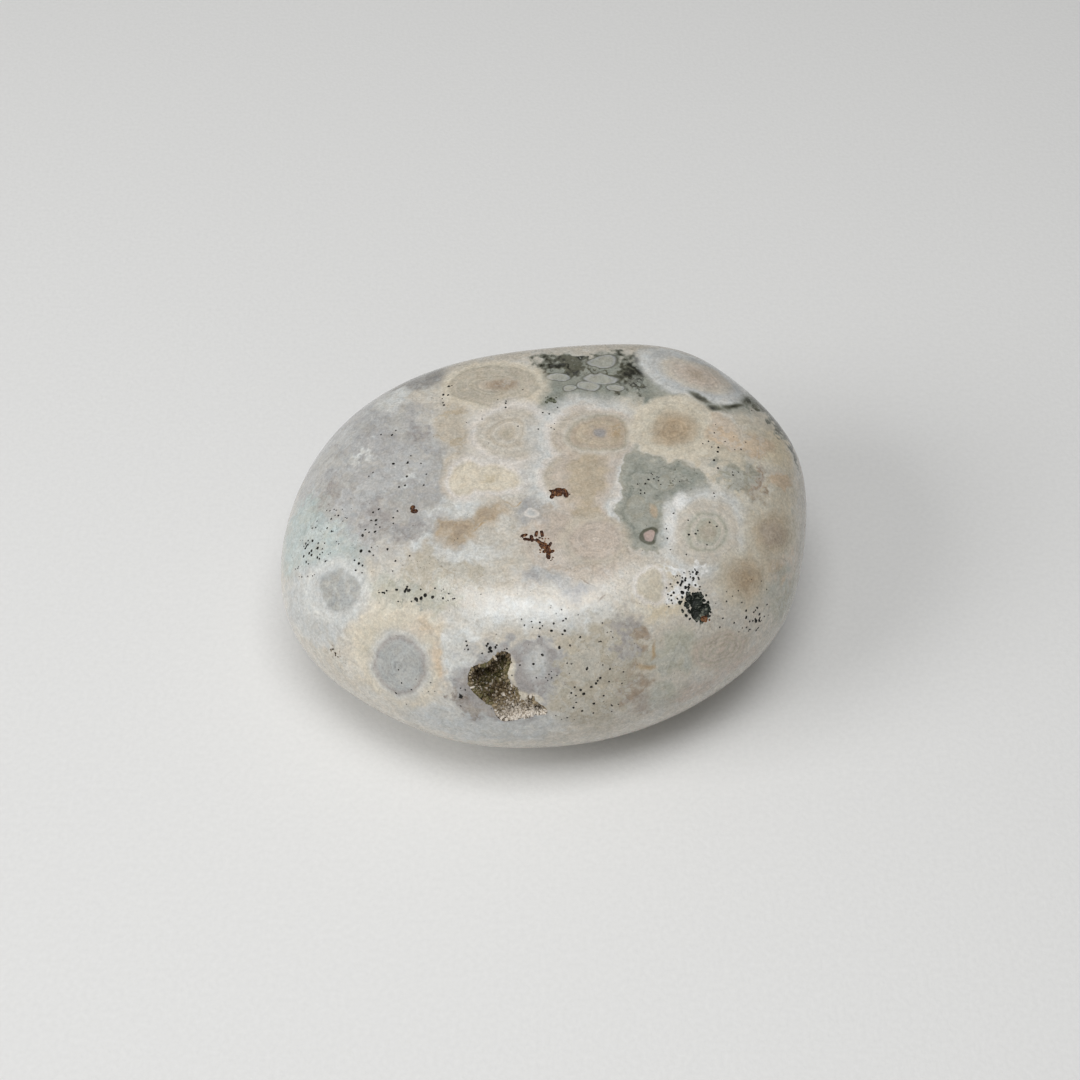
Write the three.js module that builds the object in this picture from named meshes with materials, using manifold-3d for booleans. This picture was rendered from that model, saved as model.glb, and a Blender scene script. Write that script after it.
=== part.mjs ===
// Tumbled ocean jasper: a polished pebble that fits the palm, rounded on every side, with an open
// hollow in its front that is lined by a crust of small quartz points, and a few shallow pits.
//
// Units are millimetres and degrees, and +Z is up. The stone lies on its flattest side on the
// plane z = 0, and the middle of its box stands over the origin. The hollow faces -Y.

import * as THREE from 'three';
import { mergeVertices } from 'three/addons/utils/BufferGeometryUtils.js';
import Module from 'manifold-3d';

const wasm = await Module();
wasm.setup();

// ---- Driving dimensions -------------------------------------------------------------------

// A rounded form is given about its middle. plan holds the radii of its outline at even bearings,
// counted from +X towards +Y. crown and keel are its heights above and below the middle plane.
// fullness 2 gives an ellipse in section, and more gives a squarer one. The middle plane leans:
// it rises towards +Y.
const STONE = {
  plan: [38.5, 40, 39.5, 37, 34.5, 31, 29.5, 31.5, 33, 35, 31.5, 30, 28.5, 29, 30.5, 34],
  crown: 18,
  keel: 15.6,
  fullness: 2.1,
};
const STONE_LEAN = 6;

// Tumbling wore four sides flatter. Each lies square to a bearing and a rise, at a distance from
// the middle. WORN_EDGE says how crisply they run into the round form.
const WORN_SIDES = [
  { bearing: 270, rise: 87, distance: 14.6 },
  { bearing: 47.5, rise: 6, distance: 33 },
  { bearing: -7.5, rise: 2, distance: 35.5 },
  { bearing: 96.5, rise: 6, distance: 23 },
];
const WORN_EDGE = 13;

const MIDDLE_HEIGHT = 14.6;     // of the stone's middle over its resting face
const CRUST_GAP = 0.3;          // between the crust and the hollow's wall
const CRUST_THICKNESS = 0.5;
const CRUST_SUNK = 0.35;        // of the crust's edge below the polished surface

// Subdivisions of the icosahedron that carries each kind of form.
const STONE_DETAIL = 14;
const LOBE_DETAIL = 3;
const PIT_DETAIL = 2;

// A hollow or pit is a group of rounded lobes. bearing and rise point from the stone's middle to
// the group's centre. right and up place a lobe along the surface, as seen from outside.
const LOBE_CROWN = 1.6;
const LOBE_FULLNESS = 3;
const HOLLOW = {
  bearing: -100,
  rise: 12.3,
  lobes: [
    { right: -1.4, up: 0.7, plan: [2.6, 3.1, 2.0, 2.4, 2.3, 2.4, 2.3, 3.2], depth: 2.9 },
    { right: 1.7, up: -2.5, plan: [1.8, 1.2, 2.3, 1.7, 1.6, 2.6, 2.4, 2.0], depth: 2.1 },
    { right: 3.7, up: -2.9, plan: [1.6, 1.2, 1.5, 1.1, 1.1, 1.4, 1.8, 1.3], depth: 1.7 },
  ],
};
const PITS = [
  // The dark pit on the right shoulder, drawn out downwards.
  {
    bearing: -42.5,
    rise: 19.2,
    lobes: [
      { right: 0, up: 0.5, plan: [1.3, 1.5, 1.9, 1.6, 1.3, 1.4, 1.5, 1.3], depth: 0.8 },
      { right: 0.5, up: -1.1, plan: [1.1, 0.9, 1.0, 1.0, 1.0, 0.9, 1.3, 1.0], depth: 0.7 },
    ],
  },
  // The rusty pit near the middle of the top.
  {
    bearing: -57,
    rise: 72.9,
    lobes: [
      { right: 0, up: 0, plan: [1.3, 0.8, 0.6, 0.8, 1.1, 0.7, 0.4, 0.6], depth: 0.7 },
    ],
  },
  // The branching rusty pits in front of it.
  {
    bearing: -92.5,
    rise: 50.7,
    lobes: [
      { right: -1.0, up: 1.1, plan: [0.8, 0.6, 0.6, 0.5, 0.8, 0.5, 0.5, 0.6], depth: 0.5 },
      { right: 0.5, up: -0.4, plan: [0.7, 0.6, 1.1, 0.7, 0.6, 0.6, 1.4, 0.7], depth: 0.5 },
    ],
  },
  // The small dark pit on the left shoulder.
  {
    bearing: -159.8,
    rise: 40.1,
    lobes: [
      { right: 0, up: 0, plan: [0.6, 0.5, 0.5, 0.6, 0.5, 0.5, 0.6, 0.5], depth: 0.5 },
    ],
  },
];

// The quartz points of the crust: how many stand on each lobe's wall, and their sizes.
const POINTS_PER_LOBE = [32, 18, 10];
const POINT_SIDES = 6;
const POINT_RADIUS = { least: 0.28, most: 0.55 };
const POINT_LENGTH = { least: 0.5, most: 1.3 };
const POINT_ROOT = 0.3;         // of its foot sunk in the crust
const POINT_TIP_SHARE = 1.2;    // tip height over radius
const POINT_LEAN = 0.45;        // sideways lean over length

const CRUST_SEED = 17;
const CUT_BLOCK = { width: 200, height: 100 };   // takes off all that lies below the resting face

const COLOURS = { stone: 0xcbc4ba, crust: 0x8c7f63 };

// ---- Rounded forms --------------------------------------------------------------------------

const X_AXIS = new THREE.Vector3(1, 0, 0);

// A unit direction from its bearing and rise in degrees.
function direction(bearing, rise) {
  const b = THREE.MathUtils.degToRad(bearing);
  const r = THREE.MathUtils.degToRad(rise);
  return new THREE.Vector3(Math.cos(r) * Math.cos(b), Math.cos(r) * Math.sin(b), Math.sin(r));
}

// The plan outline's radius at an angle: a closed cubic B-spline over the even bearings.
function planRadius(plan, angle) {
  const count = plan.length;
  const place = THREE.MathUtils.euclideanModulo((angle / (2 * Math.PI)) * count, count);
  const first = Math.floor(place);
  const s = place - first;
  const weights = [
    (1 - s) ** 3,
    3 * s ** 3 - 6 * s ** 2 + 4,
    -3 * s ** 3 + 3 * s ** 2 + 3 * s + 1,
    s ** 3,
  ];
  const sum = (total, weight, i) => total + weight * plan[(first + i - 1 + count) % count];
  return weights.reduce(sum, 0) / 6;
}

// How far a rounded form reaches from its middle in a unit direction: a superellipse between the
// plan outline and the crown or keel.
function formReach(form, d) {
  const outline = planRadius(form.plan, Math.atan2(d.y, d.x));
  const height = d.z > 0 ? form.crown : form.keel;
  const across = (Math.hypot(d.x, d.y) / outline) ** form.fullness;
  const upright = (Math.abs(d.z) / height) ** form.fullness;
  return (across + upright) ** (-1 / form.fullness);
}

// How far the stone's surface reaches from its middle in a unit direction, less an inset: its
// rounded form and its worn sides meet in one smooth minimum.
function stoneReach(d, inset = 0) {
  const level = d.clone().applyAxisAngle(X_AXIS, -THREE.MathUtils.degToRad(STONE_LEAN));
  let sum = formReach(STONE, level) ** -WORN_EDGE;
  for (const side of WORN_SIDES) {
    const towards = Math.max(0, d.dot(direction(side.bearing, side.rise)));
    sum += (towards / side.distance) ** WORN_EDGE;
  }
  return sum ** (-1 / WORN_EDGE) - inset;
}

// A form of another size: every measure is less by the inset.
function shrunk(form, inset) {
  return {
    ...form,
    plan: form.plan.map((radius) => radius - inset),
    crown: form.crown - inset,
    keel: form.keel - inset,
  };
}

// ---- Solids ---------------------------------------------------------------------------------

// Corners nearer than this are one corner, within a form and at last in a finished piece.
const FINE_WELD = 1e-4;
const LAST_WELD = 1e-3;

// The geometry as a manifold solid: only its positions, welded, without triangles that collapse.
function solidOf(geometry, weld = FINE_WELD) {
  const bare = new THREE.BufferGeometry();
  bare.setAttribute('position', geometry.getAttribute('position').clone());
  if (geometry.index) {
    bare.setIndex(geometry.index.clone());
  }
  const welded = mergeVertices(bare, weld);
  const corners = welded.index.array;
  const kept = [];
  for (let i = 0; i < corners.length; i += 3) {
    const [a, b, c] = [corners[i], corners[i + 1], corners[i + 2]];
    if (a !== b && b !== c && c !== a) {
      kept.push(a, b, c);
    }
  }
  return new wasm.Manifold(new wasm.Mesh({
    numProp: 3,
    vertProperties: welded.getAttribute('position').array,
    triVerts: new Uint32Array(kept),
  }));
}

// A manifold solid as a three.js geometry.
function geometryOf(solid) {
  const mesh = solid.getMesh();
  const geometry = new THREE.BufferGeometry();
  geometry.setAttribute('position', new THREE.BufferAttribute(mesh.vertProperties, 3));
  geometry.setIndex(new THREE.BufferAttribute(mesh.triVerts, 1));
  return geometry;
}

// A finished piece: the solid moved by an offset and welded, as its one main body.
function finishedGeometry(solid, offset) {
  const moved = geometryOf(solid).translate(offset.x, offset.y, offset.z);
  const geometry = geometryOf(mainBody(solidOf(moved, LAST_WELD)));
  geometry.computeVertexNormals();
  return geometry;
}

// A closed solid round the origin whose surface lies at reach(d) in every direction d.
function starSolid(reach, detail) {
  const ball = mergeVertices(new THREE.IcosahedronGeometry(1, detail)
    .deleteAttribute('normal')
    .deleteAttribute('uv'), FINE_WELD);
  const positions = ball.getAttribute('position');
  const d = new THREE.Vector3();
  for (let i = 0; i < positions.count; i += 1) {
    d.fromBufferAttribute(positions, i).normalize();
    const r = reach(d);
    positions.setXYZ(i, d.x * r, d.y * r, d.z * r);
  }
  return ball;
}

// The union of several solids.
function joined(solids) {
  return solids.reduce((whole, solid) => whole.add(solid));
}

// The one body of a solid that holds the most, without loose chips and without the shells of
// pockets closed up inside it.
function mainBody(solid) {
  return solid.decompose().reduce((best, body) => (body.volume() > best.volume() ? body : best));
}

// ---- Places on the stone ----------------------------------------------------------------------

// The stone's surface in a direction, as a frame: x to the right, y up along the surface and z
// outwards, as seen from outside. The outward normal is the gradient of |p| - reach(p / |p|).
function surfaceFrame(d) {
  const point = d.clone().multiplyScalar(stoneReach(d));
  const step = 0.01;
  const height = (p) => p.length() - stoneReach(p.clone().normalize());
  const slope = ['x', 'y', 'z'].map((axis) => {
    const ahead = point.clone();
    const behind = point.clone();
    ahead[axis] += step;
    behind[axis] -= step;
    return height(ahead) - height(behind);
  });
  const out = new THREE.Vector3(...slope).normalize();
  const right = new THREE.Vector3(0, 0, 1).cross(out).normalize();
  const up = out.clone().cross(right);
  return new THREE.Matrix4().makeBasis(right, up, out).setPosition(point);
}

// The lobes of a hollow or pit: each one's form and its frame on the stone's surface.
function placedLobes(cavity) {
  const centre = surfaceFrame(direction(cavity.bearing, cavity.rise));
  return cavity.lobes.map((lobe) => {
    const spot = new THREE.Vector3(lobe.right, lobe.up, 0).applyMatrix4(centre);
    const form = {
      plan: lobe.plan,
      crown: LOBE_CROWN,
      keel: lobe.depth,
      fullness: LOBE_FULLNESS,
    };
    return { form, frame: surfaceFrame(spot.normalize()) };
  });
}

// The space of a hollow or pit: all its lobes joined, each less an inset.
function cavitySolid(lobes, detail, inset = 0) {
  return joined(lobes.map(({ form, frame }) => {
    const lobe = shrunk(form, inset);
    return solidOf(starSolid((d) => formReach(lobe, d), detail).applyMatrix4(frame));
  }));
}

// ---- Pieces -----------------------------------------------------------------------------------

// The whole pebble before its hollow and pits, cut flat where it rests, less an inset.
function blankSolid(inset = 0) {
  const pebble = solidOf(starSolid((d) => stoneReach(d, inset), STONE_DETAIL));
  const block = new THREE.BoxGeometry(CUT_BLOCK.width, CUT_BLOCK.width, CUT_BLOCK.height);
  block.translate(0, 0, inset - MIDDLE_HEIGHT - CUT_BLOCK.height / 2);
  return pebble.subtract(solidOf(block));
}

// The pebble with its hollow and its pits.
function stoneSolid(hollowLobes) {
  const pits = PITS.map((pit) => cavitySolid(placedLobes(pit), PIT_DETAIL));
  return blankSolid()
    .subtract(cavitySolid(hollowLobes, LOBE_DETAIL))
    .subtract(joined(pits));
}

// Even numbers between 0 and 1 from a fixed seed.
function randomSource(seed) {
  const factor = 1664525;
  const step = 1013904223;
  const range = 2 ** 32;
  let state = seed;
  return () => {
    state = (state * factor + step) % range;
    return state / range;
  };
}

// One six-sided quartz point that stands on the origin along +Z, with its foot below.
function quartzPoint(radius, length) {
  const profile = [
    new THREE.Vector2(0, -POINT_ROOT),
    new THREE.Vector2(radius, -POINT_ROOT),
    new THREE.Vector2(radius, length),
    new THREE.Vector2(0, length + radius * POINT_TIP_SHARE),
  ];
  return new THREE.LatheGeometry(profile, POINT_SIDES).rotateX(Math.PI / 2);
}

// Whether a place lies in another lobe's open room, or too near the polished surface.
function isCrowdedOut(place, lobes, own, inset) {
  const stoneDirection = place.clone().normalize();
  if (place.length() > stoneReach(stoneDirection) - CRUST_SUNK - POINT_ROOT) {
    return true;
  }
  return lobes.some(({ form, frame }) => {
    const inside = place.clone().applyMatrix4(frame.clone().invert());
    const reach = formReach(shrunk(form, inset), inside.clone().normalize());
    return form !== own && inside.length() < reach - POINT_ROOT / 2;
  });
}

// The quartz points on one lobe's wall. Their feet follow a spiral over the lobe's lower half,
// and each leans a little its own way.
function wallPoints(lobes, index, random) {
  const { form, frame } = lobes[index];
  const inset = CRUST_GAP + CRUST_THICKNESS;
  const wall = shrunk(form, inset);
  const golden = Math.PI * (3 - Math.sqrt(5));
  const between = (range) => range.least + (range.most - range.least) * random();
  const points = [];
  for (let i = 0; i < POINTS_PER_LOBE[index]; i += 1) {
    const drop = (i + 0.5) / POINTS_PER_LOBE[index];
    const radius = between(POINT_RADIUS);
    const length = between(POINT_LENGTH);
    const lean = new THREE.Vector3(random() - 0.5, random() - 0.5, random() - 0.5);
    const spin = random() * Math.PI;
    const flat = Math.sqrt(1 - drop ** 2);
    const d = new THREE.Vector3(flat * Math.cos(i * golden), flat * Math.sin(i * golden), -drop);
    const foot = d.clone().multiplyScalar(formReach(wall, d));
    const axis = d.negate().addScaledVector(lean, 2 * POINT_LEAN).normalize();
    const place = foot.clone().applyMatrix4(frame);
    if (!isCrowdedOut(place, lobes, form, inset)) {
      const turn = new THREE.Quaternion().setFromUnitVectors(new THREE.Vector3(0, 0, 1), axis);
      const point = quartzPoint(radius, length).rotateZ(spin).applyQuaternion(turn);
      point.translate(foot.x, foot.y, foot.z);
      points.push(solidOf(point.applyMatrix4(frame)));
    }
  }
  return points;
}

// The crust: a thin lining of the hollow with the quartz points grown on it, all joined, and
// trimmed to stay inside the hollow and below the polished surface.
function crustSolid(lobes) {
  const random = randomSource(CRUST_SEED);
  const room = cavitySolid(lobes, LOBE_DETAIL, CRUST_GAP);
  const lining = room.subtract(cavitySolid(lobes, LOBE_DETAIL, CRUST_GAP + CRUST_THICKNESS));
  const points = lobes.flatMap((_, index) => wallPoints(lobes, index, random));
  return joined([lining, ...points]).intersect(room).intersect(blankSolid(CRUST_SUNK));
}

// ---- Materials and the whole -----------------------------------------------------------------

// Polished jasper: pale, and glossy with a soft sheen.
function jasperMaterial() {
  return new THREE.MeshStandardMaterial({ color: COLOURS.stone, roughness: 0.3, metalness: 0 });
}

// Olive-brown stained quartz points.
function crustMaterial() {
  const material = new THREE.MeshStandardMaterial({ color: COLOURS.crust });
  material.roughness = 0.4;
  material.metalness = 0;
  material.flatShading = true;
  return material;
}

// The stone's middle goes so that its box stands centred over the origin, on z = 0.
function placeOfMiddle(solid) {
  const box = solid.boundingBox();
  return new THREE.Vector3(
    -(box.min[0] + box.max[0]) / 2,
    -(box.min[1] + box.max[1]) / 2,
    -box.min[2],
  );
}

function buildJasper() {
  const hollowLobes = placedLobes(HOLLOW);
  const stone = stoneSolid(hollowLobes);
  const crust = crustSolid(hollowLobes);
  const offset = placeOfMiddle(stone);
  const stoneMesh = new THREE.Mesh(finishedGeometry(stone, offset), jasperMaterial());
  stoneMesh.name = 'stone';
  const crustMesh = new THREE.Mesh(finishedGeometry(crust, offset), crustMaterial());
  crustMesh.name = 'crystal_crust';
  const group = new THREE.Group();
  group.add(stoneMesh, crustMesh);
  return group;
}

const tumbledJasper = buildJasper();

export default tumbledJasper;
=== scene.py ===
"""Tumbled ocean jasper: a polished pebble with a crystal-lined hollow, dressed round its frame.

Lengths inside the classes are millimetres about the pebble's own middle, with +Z up and the
hollow on the -Y side. Meshes leave in metres, in the frame's own place. The studio is in metres.
"""

import logging
import math
from dataclasses import dataclass, replace
from enum import Enum

import bpy
import numpy as np
from mathutils import Matrix, Vector


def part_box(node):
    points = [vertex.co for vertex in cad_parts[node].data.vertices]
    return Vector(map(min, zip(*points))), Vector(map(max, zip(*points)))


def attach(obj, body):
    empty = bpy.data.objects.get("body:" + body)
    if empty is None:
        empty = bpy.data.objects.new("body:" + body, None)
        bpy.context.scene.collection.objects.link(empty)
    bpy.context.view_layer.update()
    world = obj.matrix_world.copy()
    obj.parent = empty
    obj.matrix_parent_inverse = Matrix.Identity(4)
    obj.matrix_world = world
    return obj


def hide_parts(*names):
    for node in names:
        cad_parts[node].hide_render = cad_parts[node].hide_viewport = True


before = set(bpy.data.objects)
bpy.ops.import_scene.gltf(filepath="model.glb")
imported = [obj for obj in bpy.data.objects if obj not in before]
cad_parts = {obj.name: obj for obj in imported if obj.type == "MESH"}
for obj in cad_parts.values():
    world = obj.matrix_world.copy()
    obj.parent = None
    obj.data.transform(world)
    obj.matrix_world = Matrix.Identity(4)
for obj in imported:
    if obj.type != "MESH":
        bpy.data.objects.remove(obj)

LOG = logging.getLogger("tumbled_jasper")
MM = 0.001
BODY = "root"
MEASURE_CELLS = 60
SPIRAL_STEP = 3 - math.sqrt(5)  # the golden angle, in half-turns

Triple = tuple[float, float, float]
Value = float | tuple[float, ...] | bpy.types.NodeSocket


# ---- Forms --------------------------------------------------------------------------------------


def unit(bearing: float, rise: float) -> np.ndarray:
    """A unit direction: bearing turns from +X towards +Y, rise lifts towards +Z, in degrees."""
    b, r = math.radians(bearing), math.radians(rise)
    return np.array([math.cos(r) * math.cos(b), math.cos(r) * math.sin(b), math.sin(r)])


def bearings_of(places: np.ndarray) -> tuple[np.ndarray, np.ndarray]:
    """The bearing and the rise of each place, seen from the middle, in degrees."""
    bearing = np.degrees(np.arctan2(places[:, 1], places[:, 0]))
    return bearing, np.degrees(np.arctan2(places[:, 2], np.hypot(places[:, 0], places[:, 1])))


@dataclass(frozen=True)
class RoundedForm:
    """A closed rounded form about its own middle.

    plan holds the outline's radii at even bearings. crown and keel are the heights above and
    below the middle plane. fullness 2 gives an ellipse in section, and more a squarer one.
    """

    plan: tuple[float, ...]
    crown: float
    keel: float
    fullness: float

    def outline(self, angle: np.ndarray) -> np.ndarray:
        """The outline's radius: a closed cubic B-spline over the radii at even bearings.

        Args:
            angle: bearings in radians.

        Returns:
            The radius at each bearing.
        """
        radii = np.asarray(self.plan)
        place = (angle / (2 * np.pi) * len(radii)) % len(radii)
        first = np.floor(place).astype(int)
        s = place - first
        weights = (
            (1 - s) ** 3,
            3 * s**3 - 6 * s**2 + 4,
            -3 * s**3 + 3 * s**2 + 3 * s + 1,
            s**3,
        )
        terms = [w * radii[(first + i - 1) % len(radii)] for i, w in enumerate(weights)]
        return sum(terms) / 6

    def reach(self, d: np.ndarray) -> np.ndarray:
        """How far the form reaches from its middle, as a superellipse.

        The share of the outline and the share of the height, each to the power of the fullness,
        add up to one on the surface.

        Args:
            d: unit directions, as rows of x, y and z.

        Returns:
            The distance to the surface in each direction.
        """
        across = np.hypot(d[:, 0], d[:, 1]) / self.outline(np.arctan2(d[:, 1], d[:, 0]))
        upright = np.abs(d[:, 2]) / np.where(d[:, 2] > 0, self.crown, self.keel)
        return (across**self.fullness + upright**self.fullness) ** (-1 / self.fullness)

    def shrunk(self, inset: float) -> "RoundedForm":
        """The same form with every measure less by the inset."""
        plan = tuple(radius - inset for radius in self.plan)
        return RoundedForm(plan, self.crown - inset, self.keel - inset, self.fullness)


@dataclass(frozen=True)
class WornSide:
    """A side that tumbling wore flatter, square to a direction, at a distance from the middle."""

    bearing: float
    rise: float
    distance: float


@dataclass(frozen=True)
class Pebble:
    """The whole pebble's surface before its hollow and pits.

    lean is in degrees. worn_edge and resting_edge say how crisply the worn sides and the resting
    face meet the rounded form, and probe is the step that finds which way the surface faces.
    """

    form: RoundedForm = RoundedForm(
        plan=(38.5, 40, 39.5, 37, 34.5, 31, 29.5, 31.5, 33, 35, 31.5, 30, 28.5, 29, 30.5, 34),
        crown=18,
        keel=15.6,
        fullness=2.1,
    )
    lean: float = 6.0
    worn_sides: tuple[WornSide, ...] = (
        WornSide(270, 87, 14.6),
        WornSide(47.5, 6, 33),
        WornSide(-7.5, 2, 35.5),
        WornSide(96.5, 6, 23),
    )
    worn_edge: float = 13.0
    middle_height: float = 14.6
    resting_edge: float = 80.0
    probe: float = 0.01

    def reach(self, d: np.ndarray) -> np.ndarray:
        """How far the surface reaches from the middle.

        The rounded form, leaning back, and the worn sides meet in a smooth minimum: the powers
        of their inverse distances add up. The resting face cuts it off below in the same way,
        but far more crisply.

        Args:
            d: unit directions, as rows of x, y and z.

        Returns:
            The distance to the surface in each direction.
        """
        lean = math.radians(self.lean)
        c, s = math.cos(lean), math.sin(lean)
        level = np.stack([d[:, 0], c * d[:, 1] + s * d[:, 2], c * d[:, 2] - s * d[:, 1]], axis=1)
        total = self.form.reach(level) ** -self.worn_edge
        for side in self.worn_sides:
            towards = np.maximum(0, d @ unit(side.bearing, side.rise))
            total = total + (towards / side.distance) ** self.worn_edge
        round_reach = total ** (-1 / self.worn_edge)
        below = np.maximum(0, -d[:, 2]) / self.middle_height
        k = self.resting_edge
        return (round_reach**-k + below**k) ** (-1 / k)

    def holds(self, places: np.ndarray, inset: float) -> np.ndarray:
        """Whether each place lies under the surface by at least an inset."""
        length = np.linalg.norm(places, axis=1)
        return length < self.reach(places / length[:, None]) - inset

    def frame_at(self, d: np.ndarray) -> tuple[np.ndarray, np.ndarray]:
        """The surface in one unit direction, as seen from outside.

        Args:
            d: a unit direction from the middle.

        Returns:
            The surface point, and the rows right, up and outward. Outward is the gradient of
            the distance from the middle less the reach, by central differences.
        """
        point = d * self.reach(d[None])[0]
        probes = point + self.probe * np.concatenate([np.eye(3), -np.eye(3)])
        length = np.linalg.norm(probes, axis=1)
        height = length - self.reach(probes / length[:, None])
        out = height[:3] - height[3:]
        out /= np.linalg.norm(out)
        right = np.cross([0.0, 0.0, 1.0], out)
        right /= np.linalg.norm(right)
        return point, np.stack([right, np.cross(out, right), out])


def cube_sphere(cells: int) -> tuple[np.ndarray, np.ndarray]:
    """Unit directions on six square grids that close round a ball.

    Each grid has two parameters, the even angles across one face of a cube. Their tangents give
    the point on the cube's face, which is then drawn to length one.

    Args:
        cells: grid cells along each cube edge.

    Returns:
        The directions as rows, and the quads as rows of four indices, facing outwards.
    """
    steps = np.arange(cells + 1)
    i, j = (a.ravel() for a in np.meshgrid(steps, steps, indexing="ij"))
    full = np.full_like(i, cells)
    lattice = [(full, i, j), (j, full, i), (i, j, full)]
    lattice += [(0 * full, j, i), (i, 0 * full, j), (j, i, 0 * full)]
    points = np.concatenate([np.stack(face, axis=1) for face in lattice])
    corner = (i * (cells + 1) + j).reshape(cells + 1, cells + 1)
    quad = [corner[:-1, :-1], corner[1:, :-1], corner[1:, 1:], corner[:-1, 1:]]
    one_face = np.stack([q.ravel() for q in quad], axis=1)
    quads = np.concatenate([one_face + n * corner.size for n in range(len(lattice))])
    shared, index = np.unique(points, axis=0, return_inverse=True)
    place = np.tan((shared / cells * 2 - 1) * np.pi / 4)
    return place / np.linalg.norm(place, axis=1)[:, None], index.reshape(-1)[quads]


# ---- Meshes -------------------------------------------------------------------------------------


def mesh_object(name: str, points: np.ndarray, faces: np.ndarray) -> bpy.types.Object:
    """A new object at the origin, unturned and unscaled.

    Args:
        name: the object's and the mesh's name.
        points: places in metres, as rows.
        faces: indices as rows, all of one length.

    Returns:
        The object, linked to the scene.
    """
    sides = faces.shape[1]
    mesh = bpy.data.meshes.new(name)
    mesh.vertices.add(len(points))
    mesh.vertices.foreach_set("co", points.astype(np.float32).ravel())
    mesh.loops.add(faces.size)
    mesh.loops.foreach_set("vertex_index", faces.astype(np.int32).ravel())
    mesh.polygons.add(len(faces))
    mesh.polygons.foreach_set("loop_start", np.arange(0, faces.size, sides, dtype=np.int32))
    mesh.update(calc_edges=True)
    mesh.validate()
    made = bpy.data.objects.new(name, mesh)
    bpy.context.scene.collection.objects.link(made)
    return made


def shade(piece: bpy.types.Object, smooth: bool, crease: float = 180.0) -> None:
    """Shades a piece smooth or flat.

    Args:
        piece: the piece.
        smooth: whether its faces are shaded as one rounded surface.
        crease: the turn between faces, in degrees, past which an edge stays sharp.
    """
    mesh = piece.data
    mesh.polygons.foreach_set("use_smooth", np.full(len(mesh.polygons), smooth))
    if smooth and crease < 180.0:
        mesh.set_sharp_from_angle(angle=math.radians(crease))
    mesh.update()


def carved(piece: bpy.types.Object, cutters: list[bpy.types.Object]) -> None:
    """Cuts each cutter from the piece, for good, and deletes the cutters.

    The walls keep the cutter's own material, whose slot is added to the piece.

    Args:
        piece: a closed piece.
        cutters: closed solids, each of which may hold several that don't touch.
    """
    for cutter in cutters:
        cut = piece.modifiers.new(cutter.name, "BOOLEAN")
        cut.operation = "DIFFERENCE"
        cut.object = cutter
        cut.solver = "MANIFOLD"
        cut.material_mode = "TRANSFER"
    bpy.context.view_layer.update()
    whole = piece.evaluated_get(bpy.context.evaluated_depsgraph_get())
    mesh = bpy.data.meshes.new_from_object(whole)
    piece.modifiers.clear()
    piece.data = mesh
    for cutter in cutters:
        spent = cutter.data
        bpy.data.objects.remove(cutter)
        bpy.data.meshes.remove(spent)


# ---- Hollow and pits ----------------------------------------------------------------------------


@dataclass(frozen=True)
class Lobe:
    """One rounded lobe of a cavity, placed right and up along the surface from its centre."""

    right: float
    up: float
    plan: tuple[float, ...]
    depth: float


@dataclass(frozen=True)
class PlacedLobe:
    """A lobe's form with its frame on the surface: a point, and rows right, up and outward."""

    form: RoundedForm
    point: np.ndarray
    axes: np.ndarray

    def surface(self, d: np.ndarray) -> np.ndarray:
        """The lobe's wall in its own directions d, as places on the pebble."""
        return self.point + (d * self.form.reach(d)[:, None]) @ self.axes

    def holds(self, places: np.ndarray, inset: float) -> np.ndarray:
        """Whether each place lies inside the lobe's wall.

        Args:
            places: places on the pebble, as rows.
            inset: how much smaller the lobe is taken to be.

        Returns:
            True where a place lies inside.
        """
        local = (places - self.point) @ self.axes.T
        length = np.linalg.norm(local, axis=1)
        return length < self.form.shrunk(inset).reach(local / length[:, None])


@dataclass(frozen=True)
class Cavity:
    """A group of lobes, sunk where a bearing and a rise in degrees meet the surface.

    crown is how far each lobe stands out of the surface, so that it cuts clean through, and
    fullness is that of its section.
    """

    bearing: float
    rise: float
    lobes: tuple[Lobe, ...]
    crown: float = 1.6
    fullness: float = 3.0

    def placed(self, pebble: Pebble) -> list[PlacedLobe]:
        """Every lobe with its own frame on the pebble's surface.

        Args:
            pebble: the pebble.

        Returns:
            The placed lobes, in order.
        """
        point, axes = pebble.frame_at(unit(self.bearing, self.rise))
        made = []
        for lobe in self.lobes:
            spot = point + lobe.right * axes[0] + lobe.up * axes[1]
            form = RoundedForm(lobe.plan, self.crown, lobe.depth, self.fullness)
            made.append(PlacedLobe(form, *pebble.frame_at(spot / np.linalg.norm(spot))))
        return made


HOLLOW = Cavity(
    bearing=-100,
    rise=12.3,
    lobes=(
        Lobe(-1.4, 0.7, (2.5, 2.0, 5.2, 1.9, 2.1, 2.6, 2.5, 2.6, 2.5, 3.2, 4.2, 3.4), 2.9),
        Lobe(1.7, -2.5, (1.7, 1.1, 1.0, 3.0, 2.4, 2.2, 2.6, 2.6, 3.2, 2.4, 2.3, 2.6), 2.2),
        Lobe(3.7, -2.9, (1.6, 0.9, 1.0, 2.2, 0.9, 1.1, 1.0, 1.6, 2.2, 1.6, 1.1, 2.7), 1.8),
    ),
)


class Lining(Enum):
    """What coats a cavity's wall: its dark colour, its light colour and how much is light."""

    # Each light colour stands partly for lighter grains and partly for painted glints on the wall.
    BLACK = ((0.012, 0.012, 0.010), (0.06, 0.055, 0.045), 0.3)
    RUST = ((0.06, 0.02, 0.009), (0.30, 0.14, 0.06), 0.45)
    GREEN_BLACK = ((0.012, 0.017, 0.012), (0.20, 0.21, 0.17), 0.3)
    OLIVE = ((0.06, 0.065, 0.04), (0.22, 0.23, 0.17), 0.4)
    BROWN = ((0.045, 0.032, 0.018), (0.22, 0.17, 0.10), 0.45)


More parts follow.
